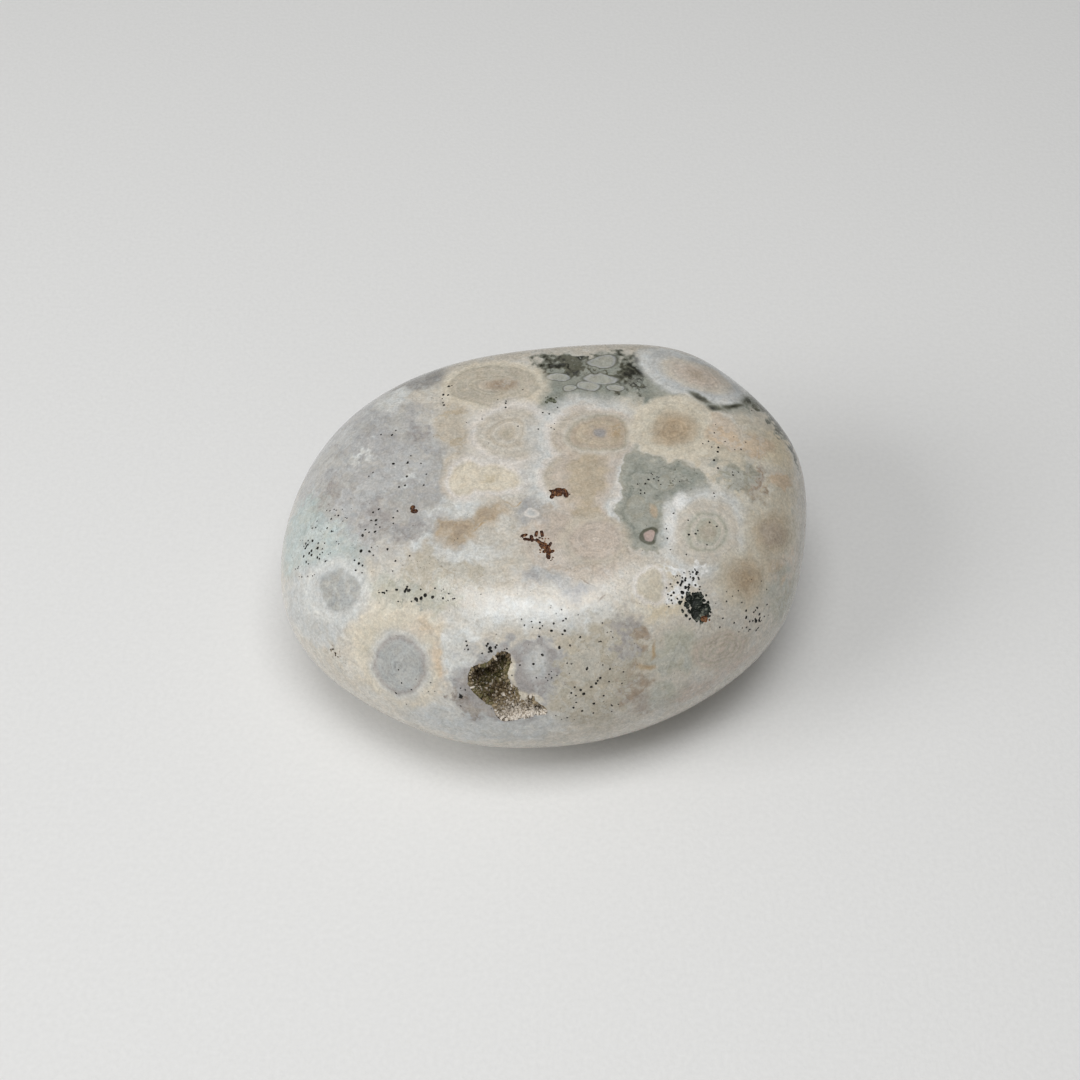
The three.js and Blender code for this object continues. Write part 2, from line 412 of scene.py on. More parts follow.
@dataclass(frozen=True)
class Bowl:
    """One small open bowl: its bearing, rise and turn in degrees, its half-widths in mm."""

    bearing: float
    rise: float
    right: float
    up: float
    turn: float = 0.0


@dataclass(frozen=True)
class Pits:
    """Bowls that share a lining, and a depth as a share of each one's mean half-width.

    Where they overlap they run together into one pit.
    """

    lining: Lining
    depth: float
    bowls: tuple[Bowl, ...]


@dataclass(frozen=True)
class Cluster:
    """A rounded patch crowded with small bowls, placed by a seed, the largest in its middle.

    bearing, rise and turn are in degrees, right and up are the patch's half-widths, and the
    bowls' half-widths run from smallest to largest.
    """

    lining: Lining
    bearing: float
    rise: float
    right: float
    up: float
    turn: float
    count: int
    smallest: float
    largest: float
    depth: float = 0.9


CLUSTERS = (
    # The dark pit on the right shoulder, its rusty foot and the grains round it.
    Cluster(Lining.GREEN_BLACK, -42.5, 20.5, 1.9, 2.5, 15, 76, 0.2, 0.5),
    Cluster(Lining.BLACK, -43, 25, 2.8, 2.0, 10, 40, 0.1, 0.3),
    Cluster(Lining.BLACK, -37, 26, 0.8, 0.9, 0, 12, 0.12, 0.3),
    Cluster(Lining.RUST, -42, 17, 0.8, 0.8, 40, 8, 0.15, 0.35),
    # Crumbs round the rusty pits near the middle of the top.
    Cluster(Lining.RUST, -93, 53, 1.8, 0.5, -5, 12, 0.1, 0.25),
    Cluster(Lining.RUST, -86, 48, 0.7, 1.4, 30, 14, 0.1, 0.3),
    Cluster(Lining.RUST, -57, 73, 1.5, 0.5, -10, 12, 0.1, 0.3),
    Cluster(Lining.OLIVE, 82, 54, 0.8, 0.8, 0, 10, 0.1, 0.3),
    # Pinholes: rows on the left flank, then thinner spreads round the front and over the top.
    Cluster(Lining.BLACK, -164, 18, 3.4, 6.0, 20, 60, 0.1, 0.24),
    Cluster(Lining.BLACK, -155, 28, 1.4, 5.0, 35, 14, 0.15, 0.32),
    Cluster(Lining.BLACK, -151, 33, 5.0, 4.0, -20, 12, 0.12, 0.22),
    Cluster(Lining.BLACK, 176, 38, 8.0, 4.0, 10, 14, 0.12, 0.24),
    Cluster(Lining.BLACK, -131, 27, 5.0, 1.2, 18, 26, 0.12, 0.3),
    Cluster(Lining.BLACK, -106, 21, 2.6, 1.0, 0, 16, 0.12, 0.28),
    Cluster(Lining.BROWN, -142, 5, 0.9, 0.5, -20, 9, 0.1, 0.25),
    Cluster(Lining.BLACK, -123, 6, 4.0, 3.0, 0, 9, 0.1, 0.18),
    Cluster(Lining.BLACK, -109, 8, 0.4, 1.8, 0, 8, 0.12, 0.25),
    Cluster(Lining.BLACK, -86, 22, 8.0, 4.5, 0, 40, 0.1, 0.24),
    Cluster(Lining.BLACK, -77, 10, 5.5, 5.5, 20, 34, 0.1, 0.24),
    Cluster(Lining.BLACK, -32, 12, 5.5, 3.6, -10, 26, 0.1, 0.24),
    Cluster(Lining.BLACK, -30.5, 8.5, 0.8, 1.7, -20, 18, 0.15, 0.3),
    Cluster(Lining.BLACK, -24, 33, 5.0, 4.0, 0, 12, 0.1, 0.18),
    Cluster(Lining.BLACK, -10, 46, 2.0, 1.8, 10, 14, 0.1, 0.24),
    Cluster(Lining.BLACK, 3, 33, 7.5, 4.5, 0, 22, 0.1, 0.2),
    Cluster(Lining.BLACK, 110, 60, 8.0, 5.0, 0, 16, 0.1, 0.18),
    Cluster(Lining.BLACK, 135, 41, 2.5, 0.6, 15, 8, 0.12, 0.3),
    # Pits on the far side and underneath.
    Cluster(Lining.GREEN_BLACK, 118, -14, 1.8, 1.2, 20, 26, 0.15, 0.45),
    Cluster(Lining.RUST, 62, -6, 1.2, 0.6, -30, 14, 0.12, 0.32),
    Cluster(Lining.BLACK, 20, -48, 2.4, 1.8, 0, 24, 0.1, 0.25),
)
PITS = (
    # The dark pit, then its rusty foot.
    Pits(Lining.GREEN_BLACK, 0.9, (
        Bowl(-42, 21, 1.1, 1.0, 0), Bowl(-43.5, 19, 0.9, 1.1, 15), Bowl(-41, 18.5, 1.0, 0.9, -20),
        Bowl(-43, 22.5, 0.5, 0.7, 10),
    )),
    Pits(Lining.RUST, 0.8, (Bowl(-42.5, 16.8, 0.6, 0.5, -30),)),
    # The rusty arch near the middle of the top.
    Pits(Lining.RUST, 0.8, (
        Bowl(-69, 72.5, 0.3, 0.7, -25), Bowl(-62, 74, 0.6, 0.5, -10), Bowl(-54, 74, 0.8, 0.4, 5),
        Bowl(-49, 72, 0.5, 0.6, 30), Bowl(-50, 70, 0.35, 0.6, 0), Bowl(-59, 72, 0.7, 0.3, 0),
    )),
    # The branching rusty pits in front of it.
    Pits(Lining.RUST, 0.8, (
        Bowl(-100, 54, 0.8, 0.2, 20), Bowl(-98, 52.5, 0.8, 0.2, -10), Bowl(-95, 53, 0.25, 0.9, 10),
        Bowl(-92, 55, 0.2, 0.8, -15), Bowl(-88, 55, 0.2, 0.8, 10), Bowl(-90.5, 52, 0.9, 0.3, -45),
        Bowl(-87.5, 50.5, 0.7, 0.5, -40), Bowl(-85, 48.5, 0.4, 0.8, 20),
        Bowl(-83.5, 50.5, 0.2, 0.7, -30), Bowl(-85, 46.5, 0.3, 0.7, 0), Bowl(-83, 48, 0.6, 0.2, 20),
    )),
    # The small rusty pit on the left shoulder, and the olive one at the back of the top.
    Pits(Lining.RUST, 0.8, (Bowl(-160, 40, 0.4, 0.5, 20), Bowl(-158, 40, 0.6, 0.4, 35))),
    Pits(Lining.OLIVE, 0.6, (
        Bowl(82, 54, 0.5, 0.5), Bowl(85, 55, 0.3, 0.3), Bowl(79.5, 54.5, 0.3, 0.3),
    )),
)


# ---- The jasper's pattern -----------------------------------------------------------------------


class Hue(Enum):
    """The stone's own colours, as linear red, green and blue."""

    MILK = (0.80, 0.80, 0.78)
    CHALK = (0.68, 0.64, 0.59)
    FROST = (0.61, 0.615, 0.59)
    MIST = (0.51, 0.515, 0.50)
    CREAM = (0.64, 0.58, 0.47)
    STRAW = (0.62, 0.54, 0.40)
    LINEN = (0.56, 0.52, 0.45)
    BUTTER = (0.56, 0.51, 0.41)
    PEACH = (0.57, 0.46, 0.34)
    SHELL = (0.53, 0.46, 0.39)
    OAT = (0.50, 0.45, 0.37)
    BISCUIT = (0.48, 0.41, 0.31)
    ROSE = (0.46, 0.36, 0.32)
    BUFF = (0.45, 0.41, 0.33)
    TAN = (0.45, 0.38, 0.30)
    SAND = (0.43, 0.34, 0.235)
    OCHRE = (0.41, 0.29, 0.16)
    CARAMEL = (0.35, 0.28, 0.21)
    UMBER = (0.22, 0.17, 0.13)
    LILAC = (0.41, 0.405, 0.395)
    ASH = (0.38, 0.385, 0.37)
    MAUVE = (0.34, 0.32, 0.305)
    SLATE = (0.30, 0.29, 0.275)
    AQUA = (0.45, 0.50, 0.48)
    SAGE = (0.45, 0.44, 0.365)
    DOVE = (0.37, 0.37, 0.32)
    LICHEN = (0.35, 0.34, 0.28)
    PEWTER = (0.27, 0.28, 0.24)
    MOSS = (0.11, 0.11, 0.08)
    PITCH = (0.02, 0.02, 0.015)


class Edge(Enum):
    """How far a bed's outline wanders: the drifts that each kind adds to the kind before it.

    Each drift is named by its noise, with its share in millimetres.
    """

    CALM = (("ripple", 0.22), ("sway", 0.6))
    WAVY = (("sway", 0.9), ("ripple", 0.6))
    RAGGED = (("ripple", 1.0), ("tatter", 0.6))


@dataclass(frozen=True)
class Blob:
    """One rounded patch of a bed, which shows where the surface cuts it.

    x, y and z point from the stone's middle to where it lies. right and up are its half-widths
    along the surface, turned by turn degrees anticlockwise as seen from outside.
    """

    x: float
    y: float
    z: float
    right: float
    up: float
    turn: float = 0.0


@dataclass(frozen=True)
class Ring:
    """The colour at a share of the way from a blob's centre to its rim, and how it covers."""

    share: float
    hue: Hue
    cover: float = 1.0


Rings = tuple[Ring, ...]


def wash(hue: Hue, core: float, rim: float, cover: float = 1.0) -> Rings:
    """One colour from the centre, full as far as the core's share, then gone at the rim's."""
    return Ring(0, hue, cover), Ring(core, hue, cover), Ring(rim, hue, 0)


def banded(heart: Hue, first: Hue, second: Hue, turns: int, rim: Hue) -> Rings:
    """An orb's rings: a heart, then two colours by turns, then a rim that fades out.

    Args:
        heart: the colour of the middle eighth.
        first, second: the colours that take turns, evenly spaced from 0.2 on for 0.66.
        turns: how many times each of them comes.
        rim: the colour of the outermost ring.

    Returns:
        The rings, from the centre outwards.
    """
    start, width = 0.2, 0.66
    step = width / (2 * turns)
    bands = [Ring(start + step * (n + 0.5), (first, second)[n % 2]) for n in range(2 * turns)]
    return Ring(0, heart), Ring(0.12, heart), *bands, Ring(0.94, rim, 0.9), Ring(1.18, rim, 0)


def halo(
    inside: Hue, rim: Hue, core: float = 0.7, edge: float = 0.92, cover: float = 0.9, last: float = 1.2
) -> Rings:
    """One colour within a rim of another.

    Args:
        inside: the colour as far as the core's share.
        rim: the colour that covers by cover at the edge's share and is gone at the last.
        core, edge, last: shares of the way from a blob's centre to its rim.
        cover: how much the rim's colour covers at the edge.

    Returns:
        The rings, from the centre outwards.
    """
    return Ring(0, inside), Ring(core, inside), Ring(edge, rim, cover), Ring(last, rim, 0)


def clouded(heart: Hue, core: float) -> Rings:
    """An orb without lines: its heart as far as the core's share, then biscuit, then butter."""
    pale = Ring(0.6, Hue.BISCUIT), Ring(0.9, Hue.BUTTER, 0.8), Ring(1.2, Hue.BUTTER, 0)
    return Ring(0, heart), Ring(core, heart), *pale


@dataclass(frozen=True)
class Bed:
    """A patch of one kind of stone: its blobs together, coloured in rings from their centres.

    lines is how clearly its fine growth lines show, and specks how many dark specks it holds.
    """

    name: str
    blobs: tuple[Blob, ...]
    rings: Rings
    edge: Edge = Edge.WAVY
    lines: float = 0.0
    specks: float = 0.0

    @property
    def plain(self) -> bool:
        """Whether it has one colour only."""
        return len({ring.hue for ring in self.rings}) == 1

    @property
    def last(self) -> float:
        """The share at which it is gone."""
        return self.rings[-1].share


# The ground beds: broad drifts of lilac grey on the left, pink and beige in front, cream right.
GROUND_BEDS = (
    Bed(
        "lilac_side",
        (Blob(-22, 1, 13, 12, 15, 40), Blob(-26, 10, 10, 8, 28, 22)),
        wash(Hue.LILAC, 0.7, 1.15), Edge.RAGGED, lines=0.15, specks=0.1,
    ),
    Bed("grey_back", (Blob(-16, 15.5, 13, 6.5, 2.5),), wash(Hue.SLATE, 0.4, 1.1), lines=0.3),
    Bed(
        "milk_back",
        (Blob(-20, 12.5, 12.5, 3.5, 1.6, -15), Blob(-17.5, 14, 13, 2.5, 1)),
        wash(Hue.FROST, 0.4, 1.2),
    ),
    Bed(
        "mauve_spots",
        (Blob(-15, 5.5, 14.5, 2, 1.5), Blob(-26, -1.5, 11.5, 3, 2, -35),
         Blob(-19, -7, 13.5, 3.5, 3, -15), Blob(-16, -9.5, 13.5, 2, 1.5)),
        wash(Hue.MAUVE, 0.3, 1.2), Edge.RAGGED, specks=0.2,
    ),
    Bed(
        "white_pockets",
        (Blob(-16.5, -0.5, 14, 2.2, 1.5, 15), Blob(-14.5, -10.5, 13.5, 3, 1.5, 10),
         Blob(-22, 4, 13, 2.5, 1.2, 20)),
        wash(Hue.FROST, 0.3, 1.2), Edge.RAGGED,
    ),
    Bed(
        "aqua_patch",
        (Blob(-29.5, -8, 8.5, 10, 4.6, -22), Blob(-30, -3, 8, 5, 3, -10)),
        wash(Hue.AQUA, 0.5, 1.2), Edge.RAGGED, specks=0.6,
    ),
    Bed(
        "milk_lower_left",
        (Blob(-29, -13.5, 5, 6, 5, 20), Blob(-27.5, -17, 4.5, 6, 3, 15)),
        wash(Hue.MIST, 0.6, 1.15), Edge.WAVY, lines=0.2,
    ),
    Bed(
        "drab_middle",
        (Blob(-11, -15, 13, 8, 3, -5),),
        wash(Hue.BUFF, 0.4, 1.15, 0.85), Edge.RAGGED, lines=0.2, specks=0.7,
    ),
    Bed(
        "olive_band",
        (Blob(-15.5, -17, 11, 7, 2.2, -8),),
        wash(Hue.SAGE, 0.6, 1.15), Edge.RAGGED, specks=0.7,
    ),
    Bed("pale_foot", (Blob(-7, -28.5, 0, 12, 4.5, 4),), wash(Hue.MIST, 0.6, 1.1), lines=0.5),
    Bed(
        "milk_middle",
        (Blob(-11, -6, 14, 4.5, 2, 10), Blob(-8.5, -12.5, 13.5, 4, 1.6)),
        wash(Hue.FROST, 0.4, 1.2), lines=0.2,
    ),
    Bed(
        "pink_centre",
        (Blob(5, -10, 14, 8, 7, 5),),
        wash(Hue.SHELL, 0.6, 1.15), lines=0.5, specks=0.1,
    ),
    Bed(
        "grey_middle",
        (Blob(-1, -6, 14, 2.8, 2.2, 20), Blob(-1.5, -8, 14, 2.2, 1.5),
         Blob(1, -15.5, 13, 4, 1.6), Blob(4.5, -17, 12.5, 2.5, 1.3)),
        wash(Hue.LILAC, 0.4, 1.2), lines=0.2, specks=0.1,
    ),
    # Partly the stone's milky white and partly a painted highlight: a pale band along the front shoulder,
    # under the softbox's highlight.
    Bed(
        "milk_and_highlight_shoulder",
        (Blob(0, -20, 11.5, 11, 2),),
        wash(Hue.FROST, 0.4, 1.2), lines=0.1, specks=0.2,
    ),
    Bed(
        "beige_front",
        (Blob(6.5, -25.5, 6, 6.5, 8, 8), Blob(9, -22, 8.5, 5, 3.5, -20)),
        wash(Hue.BUFF, 0.6, 1.2), Edge.RAGGED, specks=0.9,
    ),
    Bed(
        "mauve_front",
        (Blob(10.5, -20.5, 10.5, 2.8, 1.8, 10), Blob(10.5, -22.5, 8.5, 1.8, 2.5)),
        wash(Hue.MAUVE, 0.4, 1.2), Edge.RAGGED, lines=0.2, specks=0.4,
    ),
    Bed(
        "umber_front",
        (Blob(12.5, -21.5, 9, 1.5, 2, 15), Blob(12, -26, 3, 2, 3.5, 10)),
        wash(Hue.CARAMEL, 0.3, 1.2), Edge.RAGGED, lines=0.3, specks=0.2,
    ),
    Bed(
        "green_front",
        (Blob(17.5, -22, 6, 5, 3), Blob(15.5, -25, 1.5, 3.5, 2.5, -30)),
        wash(Hue.SAGE, 0.5, 1.15), lines=0.4,
    ),
    Bed(
        "pink_foot",
        (Blob(24.5, -20, 0.5, 5.5, 1.8), Blob(20, -23, -0.5, 5.5, 1.8, -5)),
        wash(Hue.SHELL, 0.4, 1.2), lines=0.4,
    ),
    Bed(
        "cream_right",
        (Blob(27.5, -2, 12.5, 7, 13, -10), Blob(20.5, 4.5, 14.5, 9, 5, -25)),
        wash(Hue.BUTTER, 0.75, 1.1), lines=0.4, specks=0.1,
    ),
    Bed(
        "cream_middle",
        (Blob(13, 7, 15, 4.5, 5, -10), Blob(15.5, -17.5, 11, 4, 3.5, 15)),
        wash(Hue.CREAM, 0.6, 1.15), lines=0.2, specks=0.2,
    ),
    Bed("straw_edge", (Blob(30.5, 6.5, 11.5, 3, 6, -35),), wash(Hue.STRAW, 0.3, 1.15), lines=0.5),
    Bed(
        "rose_right",
        (Blob(28.5, -10, 8.5, 6, 2.4), Blob(27, -12, 8.5, 5, 2.4)),
        wash(Hue.PEACH, 0.4, 1.2), Edge.RAGGED, lines=0.2, specks=0.3,
    ),
    Bed(
        "green_edge",
        (Blob(31, -12, 3, 6, 4.5, -35),),
        wash(Hue.SAGE, 0.4, 1.2), Edge.RAGGED, lines=0.3, specks=0.3,
    ),
)

# The moss-green patch across the back of the top, with its black seams and pale ovals.
TOP_BEDS = (
    Bed(
        "top_green",
        (Blob(7, 14.5, 15, 9, 4.5), Blob(16.5, 13, 15, 5.5, 2.2, -10), Blob(1.5, 10.5, 15, 2.6, 2)),
        halo(Hue.PEWTER, Hue.DOVE, 0.8), lines=0.3, specks=0.3,
    ),
    Bed(
        "top_dark",
        (Blob(2.5, 17, 15, 3.8, 1.7), Blob(5.5, 18, 15, 3.4, 0.9, 10), Blob(11, 16.5, 15, 1.8, 2.4, -5),
         Blob(11.5, 12.5, 15, 1.6, 0.9), Blob(3.5, 15.5, 15, 2.4, 1), Blob(9, 16, 15, 2.6, 0.5),
         Blob(6, 15.5, 15, 1.5, 0.6)),
        halo(Hue.MOSS, Hue.PEWTER, 0.6, 0.9, 0.8, 1.15), Edge.RAGGED, specks=0.6,
    ),
    Bed(
        "top_black",
        (Blob(1.5, 17, 15, 2.1, 1), Blob(3.5, 16, 15, 0.8, 1.3, 40), Blob(11.5, 16.5, 15, 1.4, 2.4),
         Blob(12, 13.5, 15, 0.5, 1.5, 5), Blob(11.5, 12, 15, 1.2, 0.5), Blob(5.5, 18.5, 15, 2.1, 0.4, 10),
         Blob(1.5, 10.5, 15, 0.8, 0.8)),
        (Ring(0, Hue.PITCH), Ring(0.5, Hue.PITCH, 0.9), Ring(1.3, Hue.MOSS, 0)),
        Edge.RAGGED, specks=0.5,
    ),
    Bed(
        "top_ovals",
        (Blob(8, 17.5, 15, 2.3, 1.1, 10), Blob(8, 14.5, 15, 2.6, 1), Blob(6.5, 13, 15, 1.8, 1),
         Blob(10, 13, 15, 1.2, 0.7), Blob(2.5, 14.5, 15, 1.6, 0.8), Blob(4, 12.5, 15, 1.1, 0.7)),
        (Ring(0, Hue.DOVE), Ring(0.6, Hue.DOVE), Ring(0.8, Hue.ASH), Ring(0.94, Hue.MOSS, 0.8),
         Ring(1.1, Hue.MOSS, 0)),
        Edge.CALM,
    ),
)

# The orbs and what frames them, from the back of the top round to the right side.
ORB_BEDS = (
    Bed(
        "orb_back_left",
        (Blob(-6, 13.5, 15, 6.8, 4),),
        banded(Hue.TAN, Hue.OAT, Hue.BUFF, 3, Hue.CREAM), Edge.CALM, lines=0.8,
    ),
    Bed(
        "orb_back_left_heart",
        (Blob(-4.5, 13.5, 15, 2.5, 1.2),),
        wash(Hue.CARAMEL, 0.4, 1.1), Edge.CALM, lines=0.5,
    ),
    Bed(
        "back_right_shade",
        (Blob(21.5, 12.5, 14.5, 8, 3, -10),),
        wash(Hue.DOVE, 0.6, 1.08), Edge.CALM,
    ),
    Bed(
        "orb_back_right",
        (Blob(20.5, 16, 14.5, 8, 4.5, -20),),
        (Ring(0, Hue.TAN), Ring(0.3, Hue.SHELL), Ring(0.55, Hue.LINEN), Ring(0.7, Hue.MIST),
         Ring(0.93, Hue.FROST), Ring(1.1, Hue.ASH, 0)),
        Edge.CALM, lines=0.45,
    ),
    Bed(
        "dark_seam",
        (Blob(20.5, 11.5, 14.5, 2.4, 0.6, -30), Blob(22.5, 10, 14.5, 2.4, 0.8),
         Blob(25, 11, 13.5, 2.6, 0.7, 30), Blob(27.5, 13, 12.5, 2, 1.2, 35)),
        (Ring(0, Hue.PITCH), Ring(0.5, Hue.MOSS, 0.95), Ring(1.15, Hue.PEWTER, 0)),
        Edge.CALM,
    ),
    Bed(
        "dark_flank",
        (Blob(29, 12.5, 11.5, 2.8, 2, -30), Blob(31, 10, 10, 3, 2, -40),
         Blob(32.5, 7.5, 9, 2.6, 1.3, -50)),
        halo(Hue.MOSS, Hue.PEWTER, 0.6, 0.9, 0.8, 1.15), Edge.RAGGED, specks=0.6,
    ),
    Bed(
        "orb_left_cream",
        (Blob(-3.5, 5.5, 15, 5.4, 5),),
        halo(Hue.OAT, Hue.CHALK), Edge.CALM, lines=0.5,
    ),
    Bed(
        "orb_left",
        (Blob(-4, 5.5, 15, 3.6, 3.5),),
        banded(Hue.BUFF, Hue.OAT, Hue.LINEN, 2, Hue.LINEN), Edge.CALM, lines=0.9,
    ),
    Bed(
        "tan_column",
        (Blob(-10.8, 6.5, 14.5, 2.2, 4.2), Blob(-10.8, -1, 14.5, 1.8, 4)),
        wash(Hue.BISCUIT, 0.6, 1.15), Edge.CALM, lines=0.3,
    ),
    Bed(
        "cream_shelf",
        (Blob(-9.2, -1.6, 14.5, 2.8, 3.4), Blob(-6, -1.8, 14.5, 5.2, 2.6, 4)),
        halo(Hue.CREAM, Hue.CHALK, 0.65, 0.85, 1.0), Edge.CALM, lines=0.6,
    ),
    Bed("straw_streak", (Blob(-5.5, -2, 14.5, 1.6, 0.7),), wash(Hue.STRAW, 0.3, 1.2)),
    Bed(
        "brown_shelf",
        (Blob(-9.5, -9.5, 14, 3.6, 1.8, 15), Blob(-6.5, -7.5, 14, 3, 1.6, 40),
         Blob(-11.5, -9.5, 14, 1.4, 1.6)),
        (Ring(0, Hue.CARAMEL), Ring(0.5, Hue.SAND, 0.9), Ring(1.15, Hue.TAN, 0)),
        Edge.WAVY, lines=0.5, specks=0.2,
    ),
    Bed(
        "ochre_threads",
        (Blob(-6.5, -9, 14, 1.4, 0.25, 35), Blob(-3.5, -5.5, 14, 1.1, 0.3, 5),
         Blob(-10, -9.5, 14, 1.3, 0.2, 10)),
        wash(Hue.OCHRE, 0, 1.2, 0.9),
    ),
    Bed(
        "white_mantle",
        (Blob(6.5, 5, 15, 7, 6), Blob(4.5, -1, 14.5, 6, 5, 25)),
        (Ring(0, Hue.OAT), Ring(0.62, Hue.OAT), Ring(0.76, Hue.CHALK), Ring(0.88, Hue.FROST, 0.95),
         Ring(1.25, Hue.MIST, 0)),
        Edge.CALM, lines=0.5, specks=0.1,
    ),
    Bed(
        "white_mantle_low",
        (Blob(9.7, -3.5, 14.5, 2, 7.4), Blob(8.8, 0, 14.5, 1.4, 3.2, -10)),
        (Ring(0, Hue.CHALK), Ring(0.5, Hue.FROST), Ring(1.15, Hue.FROST, 0)),
        Edge.CALM, lines=0.5,
    ),
    Bed(
        "tan_heart",
        (Blob(7.5, 5, 15, 5, 4.3, 5), Blob(5.5, -1, 14.5, 3.5, 5.8), Blob(6, -6.5, 14, 2.7, 4.4)),
        (Ring(0, Hue.BISCUIT), Ring(0.5, Hue.BISCUIT), Ring(0.85, Hue.SHELL, 0.8), Ring(1.25, Hue.OAT, 0)),
        lines=0.4, specks=0.1,
    ),
    Bed(
        "orb_heart",
        (Blob(7.6, 5.5, 15, 4.2, 3.2),),
        (Ring(0, Hue.MAUVE), Ring(0.16, Hue.MAUVE), Ring(0.3, Hue.TAN), Ring(0.62, Hue.BISCUIT),
         Ring(0.78, Hue.TAN), Ring(0.9, Hue.BUFF), Ring(1.0, Hue.LINEN, 0.9), Ring(1.2, Hue.OAT, 0)),
        Edge.CALM, lines=0.8,
    ),
    Bed(
        "orb_heart_brown",
        (Blob(10, 6, 15, 1.6, 1.6),),
        wash(Hue.OCHRE, 0.2, 1.15, 0.6), Edge.CALM, lines=0.3,
    ),
    Bed(
        "orb_tan",
        (Blob(17.4, 6.5, 15, 5, 5.4, -45),),
        (Ring(0, Hue.SAND), Ring(0.28, Hue.SAND), Ring(0.5, Hue.BISCUIT), Ring(0.64, Hue.BUTTER),
         Ring(1.0, Hue.CREAM, 0.9), Ring(1.15, Hue.CREAM, 0)),
        Edge.CALM, lines=0.6,
    ),
    Bed(
        "peach_right",
        (Blob(23.2, 6.3, 14, 2.8, 2.4, -20), Blob(27, 5.5, 13, 3.5, 2.2, -5),
         Blob(31, 1, 11, 2.5, 1.6, 35)),
        wash(Hue.PEACH, 0.6, 1.15), lines=0.3,
    ),
    Bed(
        "green_spot",
        (Blob(25, -0.5, 13.5, 3.4, 2.8, 40),),
        wash(Hue.LICHEN, 0.6, 1.1), Edge.RAGGED, lines=0.5, specks=0.5,
    ),
    Bed(
        "brown_spot",
        (Blob(27.5, 0, 12.5, 1.6, 2.5, -15),),
        wash(Hue.CARAMEL, 0.3, 1.2), Edge.RAGGED, lines=0.8, specks=0.2,
    ),
    Bed(
        "cream_sickle",
        (Blob(21, -1.5, 14, 1.2, 3.4, 15),),
        wash(Hue.CREAM, 0.5, 1.15), Edge.CALM, lines=0.3,
    ),
    Bed(
        "green_patch",
        (Blob(12.6, -4.5, 14.3, 2.5, 8.2, 3), Blob(15.6, -1.2, 14.3, 5.2, 3, -10),
         Blob(14.3, -6, 14, 2.7, 6), Blob(14.8, -9.5, 13.5, 2.2, 3)),
        (Ring(0, Hue.PEWTER), Ring(0.45, Hue.DOVE), Ring(0.6, Hue.PEWTER), Ring(0.88, Hue.DOVE),
         Ring(0.97, Hue.LICHEN, 0.9), Ring(1.12, Hue.FROST, 0)),
        Edge.WAVY, lines=0.2, specks=0.4,
    ),
    Bed(
        "patch_bubbles",
        (Blob(16, -2, 14.5, 1, 1.2), Blob(12, -5.5, 14, 1.2, 1.4), Blob(15, -5.5, 14, 0.8, 1)),
        halo(Hue.DOVE, Hue.LICHEN, 0.6), Edge.CALM,
    ),
    Bed("patch_rust", (Blob(14, -6, 14, 0.6, 1.2, 5),), wash(Hue.OCHRE, 0.4, 1.2, 0.9), Edge.CALM),
    Bed(
        "patch_frame",
        (Blob(13.5, -9.5, 13.5, 1.2, 1.6, -15),),
        (Ring(0, Hue.ROSE), Ring(0.55, Hue.ROSE), Ring(0.66, Hue.MOSS), Ring(0.88, Hue.MOSS),
         Ring(1.05, Hue.PEWTER, 0)),
        Edge.CALM,
    ),
    Bed(
        "patch_moss",
        (Blob(18, -2, 14, 0.6, 0.8), Blob(17, -0.5, 14.5, 0.3, 1.2, 35)),
        wash(Hue.MOSS, 0.4, 1.2), Edge.RAGGED,
    ),
    Bed(
        "orb_pale_halo",
        (Blob(20.5, -8.5, 13, 5, 6, -25),),
        halo(Hue.LINEN, Hue.FROST, 0.75, 0.9), Edge.CALM, lines=0.6,
    ),
    Bed(
        "milk_crescent",
        (Blob(16, -7.5, 13.5, 1, 3.8, 5), Blob(17.5, -4.5, 14, 1, 1.4, -30)),
        wash(Hue.MILK, 0.3, 1.2, 0.9), Edge.CALM, lines=0.3,
    ),
    Bed(
        "orb_pale",
        (Blob(20.5, -8.5, 13, 3.4, 3.8, -40),),
        (Ring(0, Hue.OAT), Ring(0.2, Hue.BUFF), Ring(0.42, Hue.SAGE), Ring(0.55, Hue.LINEN),
         Ring(0.68, Hue.SAGE), Ring(0.85, Hue.LINEN), Ring(1.2, Hue.LINEN, 0)),
        Edge.CALM, lines=0.9,
    ),
    Bed(
        "orb_far_right",
        (Blob(29, -6.5, 10, 4.6, 3.6, 25),),
        clouded(Hue.TAN, 0.3), Edge.CALM, lines=0.6,
    ),
    Bed(
        "orb_low_right",
        (Blob(25, -13, 9, 4, 3.8, 10),),
        clouded(Hue.SAND, 0.25), Edge.CALM, lines=0.7, specks=0.1,
    ),
    Bed(
        "white_splash",
        (Blob(18.5, -14.5, 12, 2.4, 1.5), Blob(17, -16, 11.5, 2, 1.3, 30)),
        wash(Hue.MILK, 0.6, 1.2), Edge.RAGGED,
    ),
    Bed(
        "orb_small",
        (Blob(13.5, -16, 12, 2.1, 2, 25),),
        halo(Hue.BUTTER, Hue.CHALK), Edge.CALM, lines=0.6,
    ),
    Bed("straw_low", (Blob(15.5, -18, 10.5, 2.2, 2),), wash(Hue.STRAW, 0.3, 1.2), lines=0.3),
    Bed("orb_centre", (Blob(7, -10.5, 14, 4.2, 3.5, 5),), halo(Hue.SHELL, Hue.OAT), Edge.CALM, lines=1),
    Bed("tan_spot", (Blob(2, -6.5, 14, 1.1, 1),), wash(Hue.CARAMEL, 0.2, 1.2)),
    Bed("small_ring", (Blob(-1, -7, 14, 0.9, 0.7),), halo(Hue.MIST, Hue.CHALK, 0.4), Edge.CALM),
)

